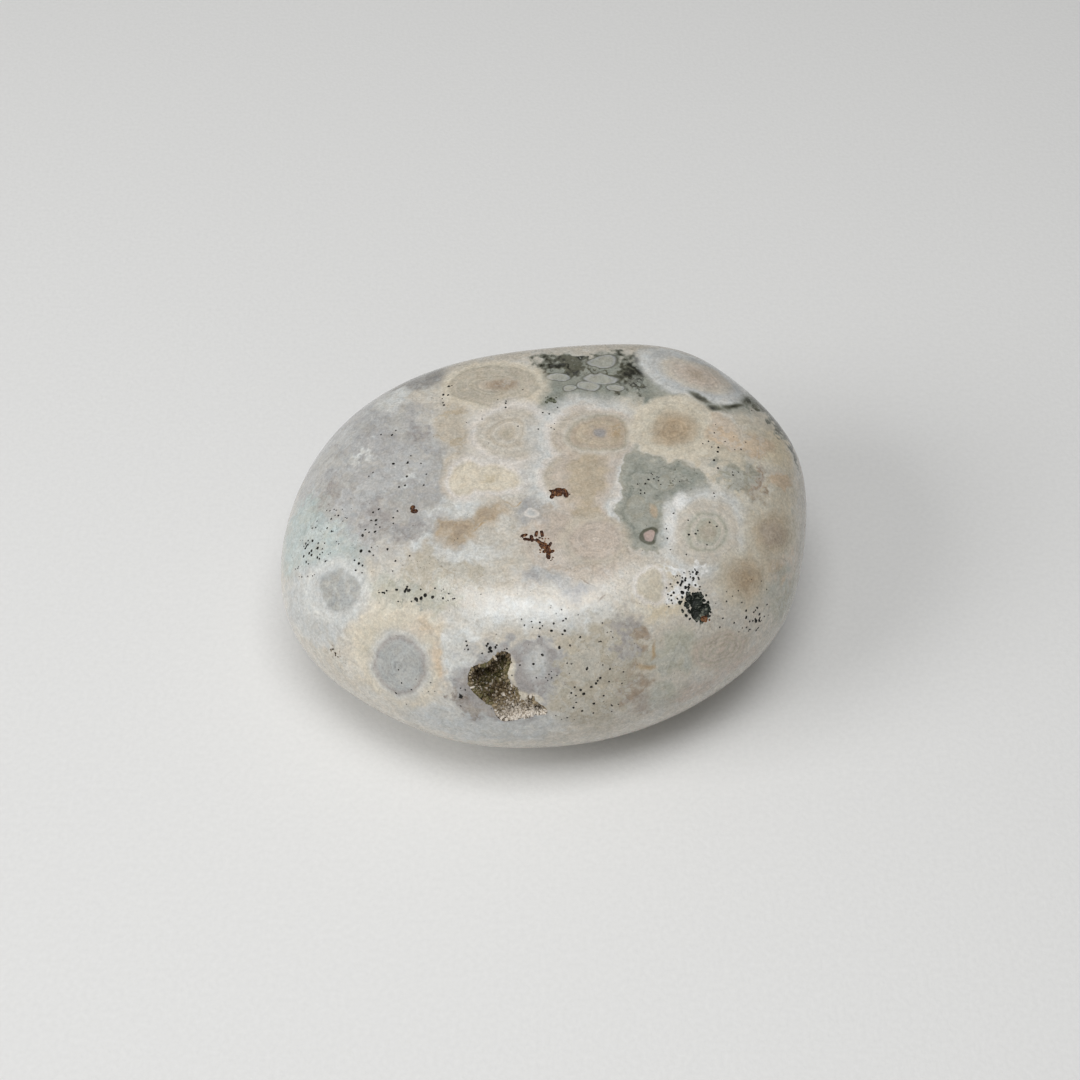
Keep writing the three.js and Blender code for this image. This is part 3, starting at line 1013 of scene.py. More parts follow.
# The lower front: two milky orbs on the left, the mauve round the hollow and a swirl on the right.
FRONT_BEDS = (
    Bed(
        "orb_left_low_milk",
        (Blob(-25, -14.5, 8.5, 4.8, 4, -5),),
        halo(Hue.MIST, Hue.FROST, 0.6), Edge.CALM, lines=0.5,
    ),
    Bed(
        "orb_left_low",
        (Blob(-24.5, -14.5, 9, 3, 2.7, -10),),
        wash(Hue.ASH, 0.82, 1.05), Edge.CALM, lines=0.5,
    ),
    Bed(
        "orb_front_left_cream",
        (Blob(-17, -22.5, 6.5, 6.2, 6.8, -35),),
        (Ring(0, Hue.LINEN), Ring(0.6, Hue.BUTTER), Ring(0.9, Hue.CREAM, 0.8), Ring(1.2, Hue.LINEN, 0)),
        lines=0.4,
    ),
    Bed(
        "peach_strip",
        (Blob(-12, -23.5, 7.5, 1.7, 3.6, 5), Blob(-14, -20.5, 9.5, 2.4, 1.1, -15)),
        wash(Hue.PEACH, 0.4, 1.2, 0.8), lines=0.3,
    ),
    Bed(
        "orb_front_left",
        (Blob(-17, -23.5, 5.5, 4, 4.8, -15),),
        (Ring(0, Hue.ASH), Ring(0.68, Hue.ASH), Ring(0.8, Hue.MAUVE, 0.9), Ring(0.92, Hue.MIST, 0.7),
         Ring(1.2, Hue.LINEN, 0)),
        Edge.CALM, lines=0.6, specks=0.1,
    ),
    Bed(
        "moss_spots",
        (Blob(-16, -18, 11, 0.7, 0.4), Blob(-14, -18.5, 11, 0.6, 0.4)),
        wash(Hue.PEWTER, 0.1, 1.3), Edge.RAGGED,
    ),
    Bed(
        "umber_spots",
        (Blob(-25.5, -19.5, 3, 1, 0.6, 10), Blob(-25, -19, 4, 1.1, 0.5, 30)),
        wash(Hue.UMBER, 0.2, 1.2), Edge.RAGGED,
    ),
    Bed(
        "milk_left_of_hollow",
        (Blob(-10, -23.5, 8.5, 2.2, 4.1), Blob(-8, -22, 10, 2.5, 1.3)),
        wash(Hue.FROST, 0.4, 1.15), lines=0.3,
    ),
    Bed(
        "mauve_round_hollow",
        (Blob(-4, -26.5, 6, 6, 5.2, 15), Blob(-1, -24.5, 8.5, 4, 2.5, 10)),
        halo(Hue.MAUVE, Hue.LILAC, 0.75), Edge.RAGGED, lines=0.5, specks=0.15,
    ),
    Bed(
        "lens_right_of_hollow",
        (Blob(-0.5, -25, 8, 1.8, 2.6, -5),),
        wash(Hue.MIST, 0.4, 1.2), Edge.CALM, lines=0.6,
    ),
    Bed(
        "umber_round_hollow",
        (Blob(-9.5, -26.5, 5, 0.6, 1.4, 5), Blob(-8, -27.5, 3, 1.6, 0.7, -25), Blob(-5.5, -25, 8, 2, 1.2)),
        wash(Hue.UMBER, 0.1, 1.15, 0.8), Edge.RAGGED, specks=0.2,
    ),
    Bed(
        "stained_edge",
        (Blob(-8.8, -26.6, 4.4, 1.2, 2.4, 20), Blob(-7, -27.5, 3, 2, 0.9, -30)),
        wash(Hue.UMBER, 0.2, 1.2, 0.55), Edge.RAGGED, specks=0.9,
    ),
    # Painted highlight: a thin cream line along the hollow's rim, where the polished edge catches the
    # light.
    Bed(
        "hollow_rim_highlight",
        (Blob(-3.6, -25.8, 7.6, 0.5, 2.8, 10), Blob(-2.4, -26.8, 4.8, 1.5, 0.5, -35),
         Blob(-0.4, -27.2, 4.2, 1.4, 0.45, -25)),
        wash(Hue.CREAM, 0.4, 1.1, 0.9), Edge.CALM,
    ),
    Bed(
        "swirl",
        (Blob(22.5, -20, 4, 4.5, 2.5, -15),),
        banded(Hue.SHELL, Hue.BUFF, Hue.SHELL, 3, Hue.OAT), Edge.CALM, lines=0.6,
    ),
    Bed(
        "ochre_bar",
        (Blob(13, -24, 6, 1.9, 0.5, -5), Blob(14, -22.5, 7.5, 0.3, 1.4, -10)),
        wash(Hue.OCHRE, 0.2, 1.2, 0.8), Edge.CALM,
    ),
    Bed(
        "crack",
        (Blob(6, -16.5, 13, 1.4, 0.2, -35), Blob(7, -18, 12, 0.2, 0.8, -40)),
        wash(Hue.UMBER, 0, 1.3, 0.9), Edge.CALM,
    ),
    Bed(
        "smudges",
        (Blob(8.5, -18, 12, 0.7, 0.5, 15), Blob(9.5, -19, 11.5, 0.7, 0.3, 35)),
        wash(Hue.DOVE, 0, 1.3, 0.8), Edge.RAGGED, specks=0.8,
    ),
)

BEDS = GROUND_BEDS + TOP_BEDS + ORB_BEDS + FRONT_BEDS


@dataclass(frozen=True)
class FarBed:
    """A bed of the same kind as a named one, placed again on the far side or underneath."""

    like: str
    bearing: float
    rise: float
    right: float
    up: float
    turn: float = 0.0

    def bed(self) -> Bed:
        """The bed itself.

        Returns:
            The named bed with one blob, in the new place.
        """
        kind = next(bed for bed in BEDS if bed.name == self.like)
        place = (float(part) for part in unit(self.bearing, self.rise))
        blob = Blob(*place, self.right, self.up, self.turn)
        return replace(kind, name="far_" + self.like, blobs=(blob,))


FAR_BEDS = (
    FarBed("lilac_side", 150, 2, 13, 11),
    FarBed("cream_right", 40, -6, 16, 11),
    FarBed("beige_front", 95, -4, 15, 9, 8),
    FarBed("milk_lower_left", 122, 18, 9, 6, 20),
    FarBed("green_front", 66, 20, 8, 5),
    FarBed("drab_middle", -60, -74, 17, 12),
    FarBed("pink_centre", 100, -66, 17, 11),
    FarBed("pale_foot", 200, -55, 11, 9),
    FarBed("grey_middle", -20, -50, 10, 6, 15),
    FarBed("lilac_side", -95, -62, 12, 7, -20),
    FarBed("rose_right", 80, 2, 7, 5),
    FarBed("peach_right", 20, -26, 8, 4, 12),
    FarBed("orb_back_left", 111, 10, 5.4, 3.9, 8),
    FarBed("orb_tan", 76, 13, 5, 4.2),
    FarBed("orb_pale_halo", 94, -9, 5, 4.2),
    FarBed("orb_pale", 94, -9, 3.3, 2.8),
    FarBed("green_patch", 83, -20, 3.6, 2.4, 25),
    FarBed("orb_far_right", 56, -1, 4, 3.6),
    FarBed("orb_low_right", 130, -6, 3.6, 3.3),
    FarBed("orb_left", 149, 11, 3.6, 3),
    FarBed("orb_left_low", 171, -13, 3, 2.6),
    FarBed("orb_front_left", 186, -34, 3.8, 3.2),
    FarBed("top_green", 31, 19, 7, 3.6, 10),
    FarBed("top_dark", 29, 18, 4.6, 1.9, -8),
    FarBed("orb_back_right", 22, -6, 5.6, 3.6),
    FarBed("orb_tan", 6, -22, 4.3, 3.8),
    FarBed("swirl", -16, -30, 4.4, 3.2, 20),
    FarBed("orb_tan", 62, -60, 5.2, 4.6),
    FarBed("orb_back_left", 150, -58, 5, 4, 30),
    FarBed("orb_pale", -95, -80, 4.4, 3.9),
    FarBed("orb_low_right", -32, -64, 4, 3.7),
    FarBed("orb_far_right", 2, -52, 4, 3.4),
    FarBed("orb_front_left", -148, -62, 4.2, 3.7),
    FarBed("top_green", 104, -48, 6, 3.2, 15),
    FarBed("top_dark", 103, -49, 4, 1.5, 20),
)


# ---- Finishes -----------------------------------------------------------------------------------


@dataclass(frozen=True)
class Cloud:
    """A cloudy noise: its cells to a millimetre, its octaves, how rough and how twisted it is."""

    scale: float
    detail: float = 2.0
    roughness: float = 0.5
    twist: float = 0.0


@dataclass(frozen=True)
class Step:
    """A smooth step: what lies between low and high is spread from to_low to to_high."""

    low: float
    high: float
    to_low: float = 0.0
    to_high: float = 1.0


class Graph:
    """Writes one material's nodes, each after the nodes that it reads."""

    def __init__(self, name: str) -> None:
        """Starts a material with its plain shader.

        Args:
            name: the material's name.
        """
        self.material = bpy.data.materials.new(name)
        self.material.use_nodes = True
        self.nodes = self.material.node_tree.nodes
        self.links = self.material.node_tree.links
        self.shader = self.nodes["Principled BSDF"]

    def add(self, kind: str, inputs: dict[int | str, Value], **settings: object) -> bpy.types.Node:
        """One node: its settings, then each input as a fixed value or another node's output.

        Args:
            kind: the node's type, without its "ShaderNode" prefix.
            inputs: values or outputs by the input's name or number.
            settings: the node's own properties.

        Returns:
            The node.
        """
        node = self.nodes.new("ShaderNode" + kind)
        for key, value in settings.items():
            setattr(node, key, value)
        for key, value in inputs.items():
            self.feed(node, key, value)
        return node

    def feed(self, node: bpy.types.Node, key: int | str, value: Value) -> None:
        """Sets one input of a node, or links another node's output to it.

        Args:
            node: the node.
            key: the input's name or number.
            value: a fixed value, or the other node's output.
        """
        if isinstance(value, bpy.types.NodeSocket):
            self.links.new(value, node.inputs[key])
        else:
            node.inputs[key].default_value = value

    def place(self, shift: Triple | Vector = (0, 0, 0)) -> bpy.types.NodeSocket:
        """The piece's own coordinates in millimetres, with a shift added to them.

        Args:
            shift: the shift in millimetres.

        Returns:
            The place.
        """
        own = self.add("TexCoord", {}).outputs["Object"]
        start = {"Vector": own, "Location": shift, "Scale": (1 / MM,) * 3}
        return self.add("Mapping", start).outputs[0]

    def math(self, operation: str, *values: Value) -> bpy.types.NodeSocket:
        """A sum on single numbers."""
        return self.add("Math", dict(enumerate(values)), operation=operation).outputs[0]

    def vector(self, operation: str, *values: Value) -> bpy.types.NodeSocket:
        """A sum on vectors."""
        return self.add("VectorMath", dict(enumerate(values)), operation=operation).outputs[0]

    def scaled(self, vector: Value, factor: Value) -> bpy.types.NodeSocket:
        """A vector or colour times a number."""
        return self.add("VectorMath", {0: vector, "Scale": factor}, operation="SCALE").outputs[0]

    def noise(self, place: Value, cloud: Cloud, kind: int | str = 0) -> bpy.types.NodeSocket:
        """Cloudy noise about nought.

        Args:
            place: where it is read.
            cloud: its measures.
            kind: nought for a number, or "Color" for three numbers at once.

        Returns:
            The noise.
        """
        inputs = {"Vector": place, "Scale": cloud.scale, "Detail": cloud.detail}
        inputs |= {"Roughness": cloud.roughness, "Distortion": cloud.twist}
        return self.add("TexNoise", inputs, normalize=False).outputs[kind]

    def blend(self, factor: Value, first: Value, second: Value) -> bpy.types.NodeSocket:
        """One colour over another."""
        inputs = {0: factor, 6: first, 7: second}
        return self.add("Mix", inputs, data_type="RGBA").outputs[2]

    def slide(self, factor: Value, first: Value, second: Value) -> bpy.types.NodeSocket:
        """From one number to another."""
        return self.add("Mix", {0: factor, 2: first, 3: second}, data_type="FLOAT").outputs[0]

    def spread(self, value: Value, step: Step) -> bpy.types.NodeSocket:
        """A number put through a smooth step, which isn't clamped.

        Args:
            value: the number.
            step: the step.

        Returns:
            The spread number.
        """
        inputs = {"Value": value, "From Min": step.low, "From Max": step.high}
        inputs |= {"To Min": step.to_low, "To Max": step.to_high}
        settings = {"interpolation_type": "SMOOTHSTEP", "clamp": False}
        return self.add("MapRange", inputs, **settings).outputs[0]

    def rings(self, factor: Value, stops: list[tuple[float, tuple[float, ...]]]) -> bpy.types.Node:
        """A colour ramp.

        Args:
            factor: the place on the ramp, from nought to one.
            stops: places and colours in order, the first at nought and the last at one.

        Returns:
            The ramp's node.
        """
        node = self.add("ValToRGB", {0: factor})
        row = node.color_ramp.elements
        for place, _ in stops[1:-1]:
            row.new(place)
        for element, (_, colour) in zip(row, stops):
            element.color = colour
        return node

    def dress(
        self, colour: Value, roughness: Value, height: Value, strength: float, depth: float
    ) -> bpy.types.Material:
        """Feeds the shader.

        Args:
            colour: the base colour.
            roughness: how dull it is.
            height: what the bump follows.
            strength: the bump's strength, from nought to one.
            depth: how deep a height of one is, in millimetres.

        Returns:
            The finished material.
        """
        bump = self.add("Bump", {"Strength": strength, "Distance": depth * MM, "Height": height})
        self.feed(self.shader, "Base Color", colour)
        self.feed(self.shader, "Roughness", roughness)
        self.feed(self.shader, "Normal", bump.outputs[0])
        return self.material


@dataclass(frozen=True)
class JasperFinish:
    """The polished jasper: beds painted over each other, with grain, growth lines and specks.

    Each Cloud is a noise, and each Step says what becomes of one. The colour is multiplied by
    its tone: plain_tone and what the cloud, grain, islands, growth lines and veins add to it.
    ground_traits are the bare ground's lines, specks and mottle, as a colour. bump holds a
    strength and a depth in millimetres, here and in the other finishes.
    """

    pebble: Pebble
    middle: np.ndarray
    beds: tuple[Bed, ...] = BEDS
    far_beds: tuple[FarBed, ...] = FAR_BEDS
    ground: Hue = Hue.LINEN
    ground_traits: tuple[float, ...] = (0.2, 0.2, 1.0, 1)
    ring_mottle: float = 0.15

    sway: Cloud = Cloud(0.22, 1)
    ripple: Cloud = Cloud(0.8, 1)
    tatter: Cloud = Cloud(2.0, 3, 0.6)

    milk: Hue = Hue.FROST
    milk_drifts: Cloud = Cloud(0.24, 4, 0.6, 1.2)
    milk_cover: Step = Step(0.03, 0.2, 0.0, 0.26)
    stain: Hue = Hue.BUFF
    stain_drifts: Cloud = Cloud(0.31, 4, 0.62, 0.8)
    stain_cover: Step = Step(0.06, 0.25, 0.0, 0.2)

    plain_tone: float = 0.99
    cloud: Cloud = Cloud(0.7, 5, 0.66, 1.2)
    cloud_tone: float = 0.13
    grain: Cloud = Cloud(3.6, 3, 0.65)
    grain_tone: float = 0.16
    islands: Cloud = Cloud(0.42, 4, 0.6)
    island_tone: Step = Step(0.05, 0.13, -0.025, 0.05)
    veins: Cloud = Cloud(0.3, 2, 0.5)
    vein_tone: Step = Step(0.0, 0.014, -0.07, 0.0)
    warmth: Cloud = Cloud(1.1, 2, 0.5)
    warm_tint: float = 0.03

    line_spacing: float = 0.42
    line_shake: float = 0.3
    line_scale: float = 1.3
    line_tone: float = 0.16

    speck_scale: float = 1.7
    speck_share: float = 0.5
    speck_size: float = 0.1
    speck_growth: float = 0.13
    speck_rim: Step = Step(-0.05, 0.04)
    speck_colour: Triple = (0.07, 0.065, 0.05)

    polish: Step = Step(-0.5, 0.5, 0.13, 0.24)
    speck_dullness: float = 0.35
    bump: tuple[float, float] = (0.5, 0.01)

    def turned(self, blob: Blob) -> tuple[Vector, Vector]:
        """Where a blob lies on the surface, and how it is turned there.

        Args:
            blob: the blob, whose own right is +X laid flat on the surface, then turned.

        Returns:
            The place, and the turn as Euler angles.
        """
        d = np.array([blob.x, blob.y, blob.z])
        point, axes = self.pebble.frame_at(d / np.linalg.norm(d))
        out = axes[2]
        right = np.array([1.0, 0.0, 0.0]) - out * out[0]
        right /= np.linalg.norm(right)
        up = np.cross(out, right)
        turn = math.radians(blob.turn)
        first = math.cos(turn) * right + math.sin(turn) * up
        second = math.cos(turn) * up - math.sin(turn) * right
        return Vector(point), Matrix(np.stack([first, second, out], axis=1)).to_euler()

    def nearness(self, graph: Graph, bed: Bed, place: bpy.types.NodeSocket) -> bpy.types.NodeSocket:
        """How near a place is to a bed's centres: one at a centre, nought from its last ring on.

        Each blob is an ellipsoid: the place is drawn into the blob's own frame, where its
        length is one on the last ring. The greatest nearness holds.

        Args:
            graph: the material being written.
            bed: the bed.
            place: the place, after the drifts of the bed's edge.

        Returns:
            The nearness.
        """
        nearest = None
        for blob in bed.blobs:
            node = graph.add("TexGradient", {"Vector": place}, gradient_type="SPHERICAL")
            frame_of = node.texture_mapping
            frame_of.vector_type = "TEXTURE"
            frame_of.translation, frame_of.rotation = self.turned(blob)
            frame_of.scale = bed.last * Vector((blob.right, blob.up, max(blob.right, blob.up)))
            near = node.outputs["Fac"]
            nearest = near if nearest is None else graph.math("MAXIMUM", nearest, near)
        return nearest

    def painted(
        self, graph: Graph, bed: Bed, near: Value, under: Value
    ) -> tuple[Value, bpy.types.NodeSocket]:
        """One bed's colours laid over those under it.

        Args:
            graph: the material being written.
            bed: the bed.
            near: the nearness to its centres.
            under: the colour so far.

        Returns:
            How much the bed covers, and the colour now on top.
        """
        if bed.plain:
            core = bed.rings[-2]
            cover = graph.spread(near, Step(0.0, 1 - core.share / bed.last, 0.0, core.cover))
            return cover, graph.blend(cover, under, (*core.hue.value, 1))
        rings = reversed(bed.rings)
        stops = [(1 - ring.share / bed.last, (*ring.hue.value, ring.cover)) for ring in rings]
        ramp = graph.rings(near, stops)
        return ramp.outputs["Alpha"], graph.blend(ramp.outputs["Alpha"], under, ramp.outputs[0])

    def build(self) -> bpy.types.Material:
        """The material, with every bed in order and the fine grain over them all.

        Returns:
            The material.
        """
        graph = Graph("polished_jasper")
        place = graph.place(-Vector(self.middle))
        drifts = {"sway": self.sway, "ripple": self.ripple, "tatter": self.tatter}
        moved = {name: graph.noise(place, cloud, "Color") for name, cloud in drifts.items()}
        places, at = {}, place
        for edge in Edge:
            for name, share in edge.value:
                at = graph.vector("MULTIPLY_ADD", moved[name], (share,) * 3, at)
            places[edge] = at

        colour: Value = (*self.ground.value, 1)
        traits: Value = self.ground_traits
        growth: Value = 0.0
        for bed in (*(far.bed() for far in self.far_beds), *self.beds):
            near = self.nearness(graph, bed, places[bed.edge])
            cover, colour = self.painted(graph, bed, near, colour)
            mottle = 1.0 if bed.plain else self.ring_mottle
            traits = graph.blend(cover, traits, (bed.lines, bed.specks, mottle, 1))
            if bed.lines:
                size = np.mean([math.sqrt(blob.right * blob.up) for blob in bed.blobs])
                turns = graph.math("MULTIPLY", near, bed.last * size / self.line_spacing)
                growth = graph.slide(cover, growth, turns)

        lines, specks, mottle = graph.add("SeparateColor", {0: traits}).outputs
        ragged = places[Edge.RAGGED]
        cloud, grain = graph.noise(place, self.cloud), graph.noise(place, self.grain)
        island = graph.noise(ragged, self.islands)
        colour = self.mottled(graph, places[Edge.WAVY], colour, mottle)
        tone = graph.math("MULTIPLY_ADD", cloud, self.cloud_tone, self.plain_tone)
        tone = graph.math("MULTIPLY_ADD", grain, self.grain_tone, tone)
        tone = graph.math("ADD", tone, graph.spread(island, self.island_tone))
        along = graph.math("MULTIPLY_ADD", grain, self.line_shake, growth)
        tone = self.lined(graph, along, lines, tone)
        vein = graph.math("ABSOLUTE", graph.noise(ragged, self.veins))
        tone = graph.math("ADD", tone, graph.spread(vein, self.vein_tone))
        colour = self.warmed(graph, place, graph.scaled(colour, tone))
        dots = self.specked(graph, ragged, specks)
        colour = graph.blend(dots, colour, (*self.speck_colour, 1))
        rough = graph.spread(grain, self.polish)
        rough = graph.math("MULTIPLY_ADD", dots, self.speck_dullness, rough)
        return graph.dress(colour, rough, grain, *self.bump)

    def mottled(self, graph: Graph, wavy: Value, colour: Value, mottle: Value) -> Value:
        """The colour with drifts of milk and of stain over it.

        Args:
            graph: the material being written.
            wavy: the place that the drifts are read at.
            colour: the colour of the beds.
            mottle: how much of the drifts a bed lets show.

        Returns:
            The colour.
        """
        milk, stain = graph.noise(wavy, self.milk_drifts), graph.noise(wavy, self.stain_drifts)
        milky = graph.math("MULTIPLY", graph.spread(milk, self.milk_cover), mottle)
        stained = graph.math("MULTIPLY", graph.spread(stain, self.stain_cover), mottle)
        colour = graph.blend(milky, colour, (*self.milk.value, 1))
        return graph.blend(stained, colour, (*self.stain.value, 1))

    def lined(self, graph: Graph, along: Value, lines: Value, tone: Value) -> Value:
        """The tone with the fine growth lines in it.

        Args:
            graph: the material being written.
            along: how many line spacings a spot lies from its bed's last ring.
            lines: how clearly the lines show.
            tone: the tone so far.

        Returns:
            The tone.
        """
        settings = {"noise_dimensions": "1D", "normalize": False}
        wave = graph.add("TexNoise", {"W": along, "Scale": self.line_scale}, **settings).outputs[0]
        shown = graph.math("MULTIPLY", lines, self.line_tone)
        return graph.math("MULTIPLY_ADD", wave, shown, tone)

    def warmed(self, graph: Graph, place: Value, colour: Value) -> Value:
        """The colour drifting a little between warm and cool.

        Args:
            graph: the material being written.
            place: the plain place.
            colour: the colour.

        Returns:
            The colour, with more red and less blue where the noise is high.
        """
        warm = graph.noise(place, self.warmth)
        red = graph.math("MULTIPLY_ADD", warm, self.warm_tint, 1.0)
        blue = graph.math("MULTIPLY_ADD", warm, -self.warm_tint, 1.0)
        tint = graph.add("CombineColor", {0: red, 1: 1.0, 2: blue}).outputs[0]
        return graph.vector("MULTIPLY", colour, tint)

    def specked(self, graph: Graph, ragged: Value, specks: Value) -> Value:
        """The finest pinholes, as round dots in some of the cells of a scatter.

        Args:
            graph: the material being written.
            ragged: the place after every drift.
            specks: how many of the cells hold a dot.

        Returns:
            One in a dot and nought outside.
        """
        scatter = {"Vector": ragged, "Scale": self.speck_scale, "Randomness": 1.0}
        cells = graph.add("TexVoronoi", scatter)
        pick = graph.add("SeparateColor", {0: cells.outputs["Color"]})
        share = graph.math("MULTIPLY", specks, self.speck_share)
        held = graph.math("LESS_THAN", pick.outputs[0], share)
        width = graph.math("MULTIPLY_ADD", pick.outputs[1], self.speck_growth, self.speck_size)
        inside = graph.math("SUBTRACT", width, cells.outputs["Distance"])
        return graph.math("MULTIPLY", graph.spread(inside, self.speck_rim), held)


@dataclass(frozen=True)
class LiningFinish:
    """A cavity wall: dark, with lighter grains over part of it, partly painted glints, and dull to glassy
    in spots.

    half_step is half the width of the step from dark to light.
    """

    lining: Lining
    coarse: Cloud = Cloud(1.0, 2)
    coarse_share: float = 0.6
    fine: Cloud = Cloud(3.0, 3, 0.65)
    half_step: float = 0.25
    dullness: Step = Step(-0.3, 0.3, 0.3, 0.75)
    bump: tuple[float, float] = (0.7, 0.08)

    def build(self) -> bpy.types.Material:
        """The material, from one fine noise and one coarser one.

        Returns:
            The material.
        """
        dark, light, share = self.lining.value
        graph = Graph(f"{self.lining.name.lower()}_lining")
        place = graph.place()
        coarse = graph.noise(place, self.coarse)
        fine = graph.noise(place, self.fine)
        both = graph.math("MULTIPLY_ADD", coarse, self.coarse_share, fine)
        # Where the noise is high the wall takes its light colour: lighter grains, and partly painted
        # glints.
        centre = 0.5 - 0.5 * share
        pale = graph.spread(both, Step(centre - self.half_step, centre + self.half_step))
        colour = graph.blend(pale, (*dark, 1), (*light, 1))
        return graph.dress(colour, graph.spread(fine, self.dullness), fine, *self.bump)


@dataclass(frozen=True)
class CrystalFinish:
    """The quartz points: glassy, brown with olive in the depth and cream on the lower ones.

    stops are the colours from the deepest tone to the palest. Olive covers some patches of the
    deeper points. The tone is partly the points' own colour and partly painted: shade in the
    deep main lobe, light on the lower walls.
    """

    stops: tuple[tuple[float, Triple], ...] = (
        (0.0, (0.045, 0.032, 0.018)),
        (0.4, (0.16, 0.115, 0.06)),
        (0.75, (0.36, 0.29, 0.19)),
        (1.0, (0.68, 0.62, 0.54)),
    )
    olive: Triple = (0.16, 0.16, 0.06)
    olive_patches: Cloud = Cloud(0.5, 2)
    olive_cover: Step = Step(0.02, 0.2, 0.0, 0.4)
    olive_depth: Step = Step(0.35, 0.6, 1.0, 0.0)
    fine: Cloud = Cloud(4.0, 2, 0.6)
    fine_tone: float = 0.25
    gloss: Step = Step(-0.3, 0.3, 0.12, 0.4)
    bump: tuple[float, float] = (0.3, 0.02)

    def build(self) -> bpy.types.Material:
        """The material: each point's own tone picks its colour, and a noise turns some olive.

        Returns:
            The material.
        """
        graph = Graph("quartz_crust")
        tone = graph.add("Attribute", {}, attribute_name="tone").outputs["Fac"]
        place = graph.place()
        fine = graph.noise(place, self.fine)
        toned = graph.math("MULTIPLY_ADD", fine, self.fine_tone, tone)
        ramp = graph.rings(toned, [(share, (*colour, 1)) for share, colour in self.stops])
        patch = graph.spread(graph.noise(place, self.olive_patches), self.olive_cover)
        deep = graph.math("MULTIPLY", patch, graph.spread(tone, self.olive_depth))
        colour = graph.blend(deep, ramp.outputs[0], (*self.olive, 1))
        return graph.dress(colour, graph.spread(fine, self.gloss), fine, *self.bump)


@dataclass(frozen=True)
class FloorFinish:
    """The floor: matt pale board with a faint fine tooth."""

    grey: Triple
    tooth: Cloud = Cloud(1.6, 3)
    tooth_tone: float = 0.03
    roughness: float = 0.6
    bump: tuple[float, float] = (0.3, 0.03)

    def build(self) -> bpy.types.Material:
        """The material, its tone lifted and dropped a little by one noise.

        Returns:
            The material.
        """
        graph = Graph("pale_board")
        tooth = graph.noise(graph.place(), self.tooth)
        tone = graph.math("MULTIPLY_ADD", tooth, self.tooth_tone, 1.0)
        return graph.dress(graph.scaled(self.grey, tone), self.roughness, tooth, *self.bump)


# ---- Pieces -------------------------------------------------------------------------------------


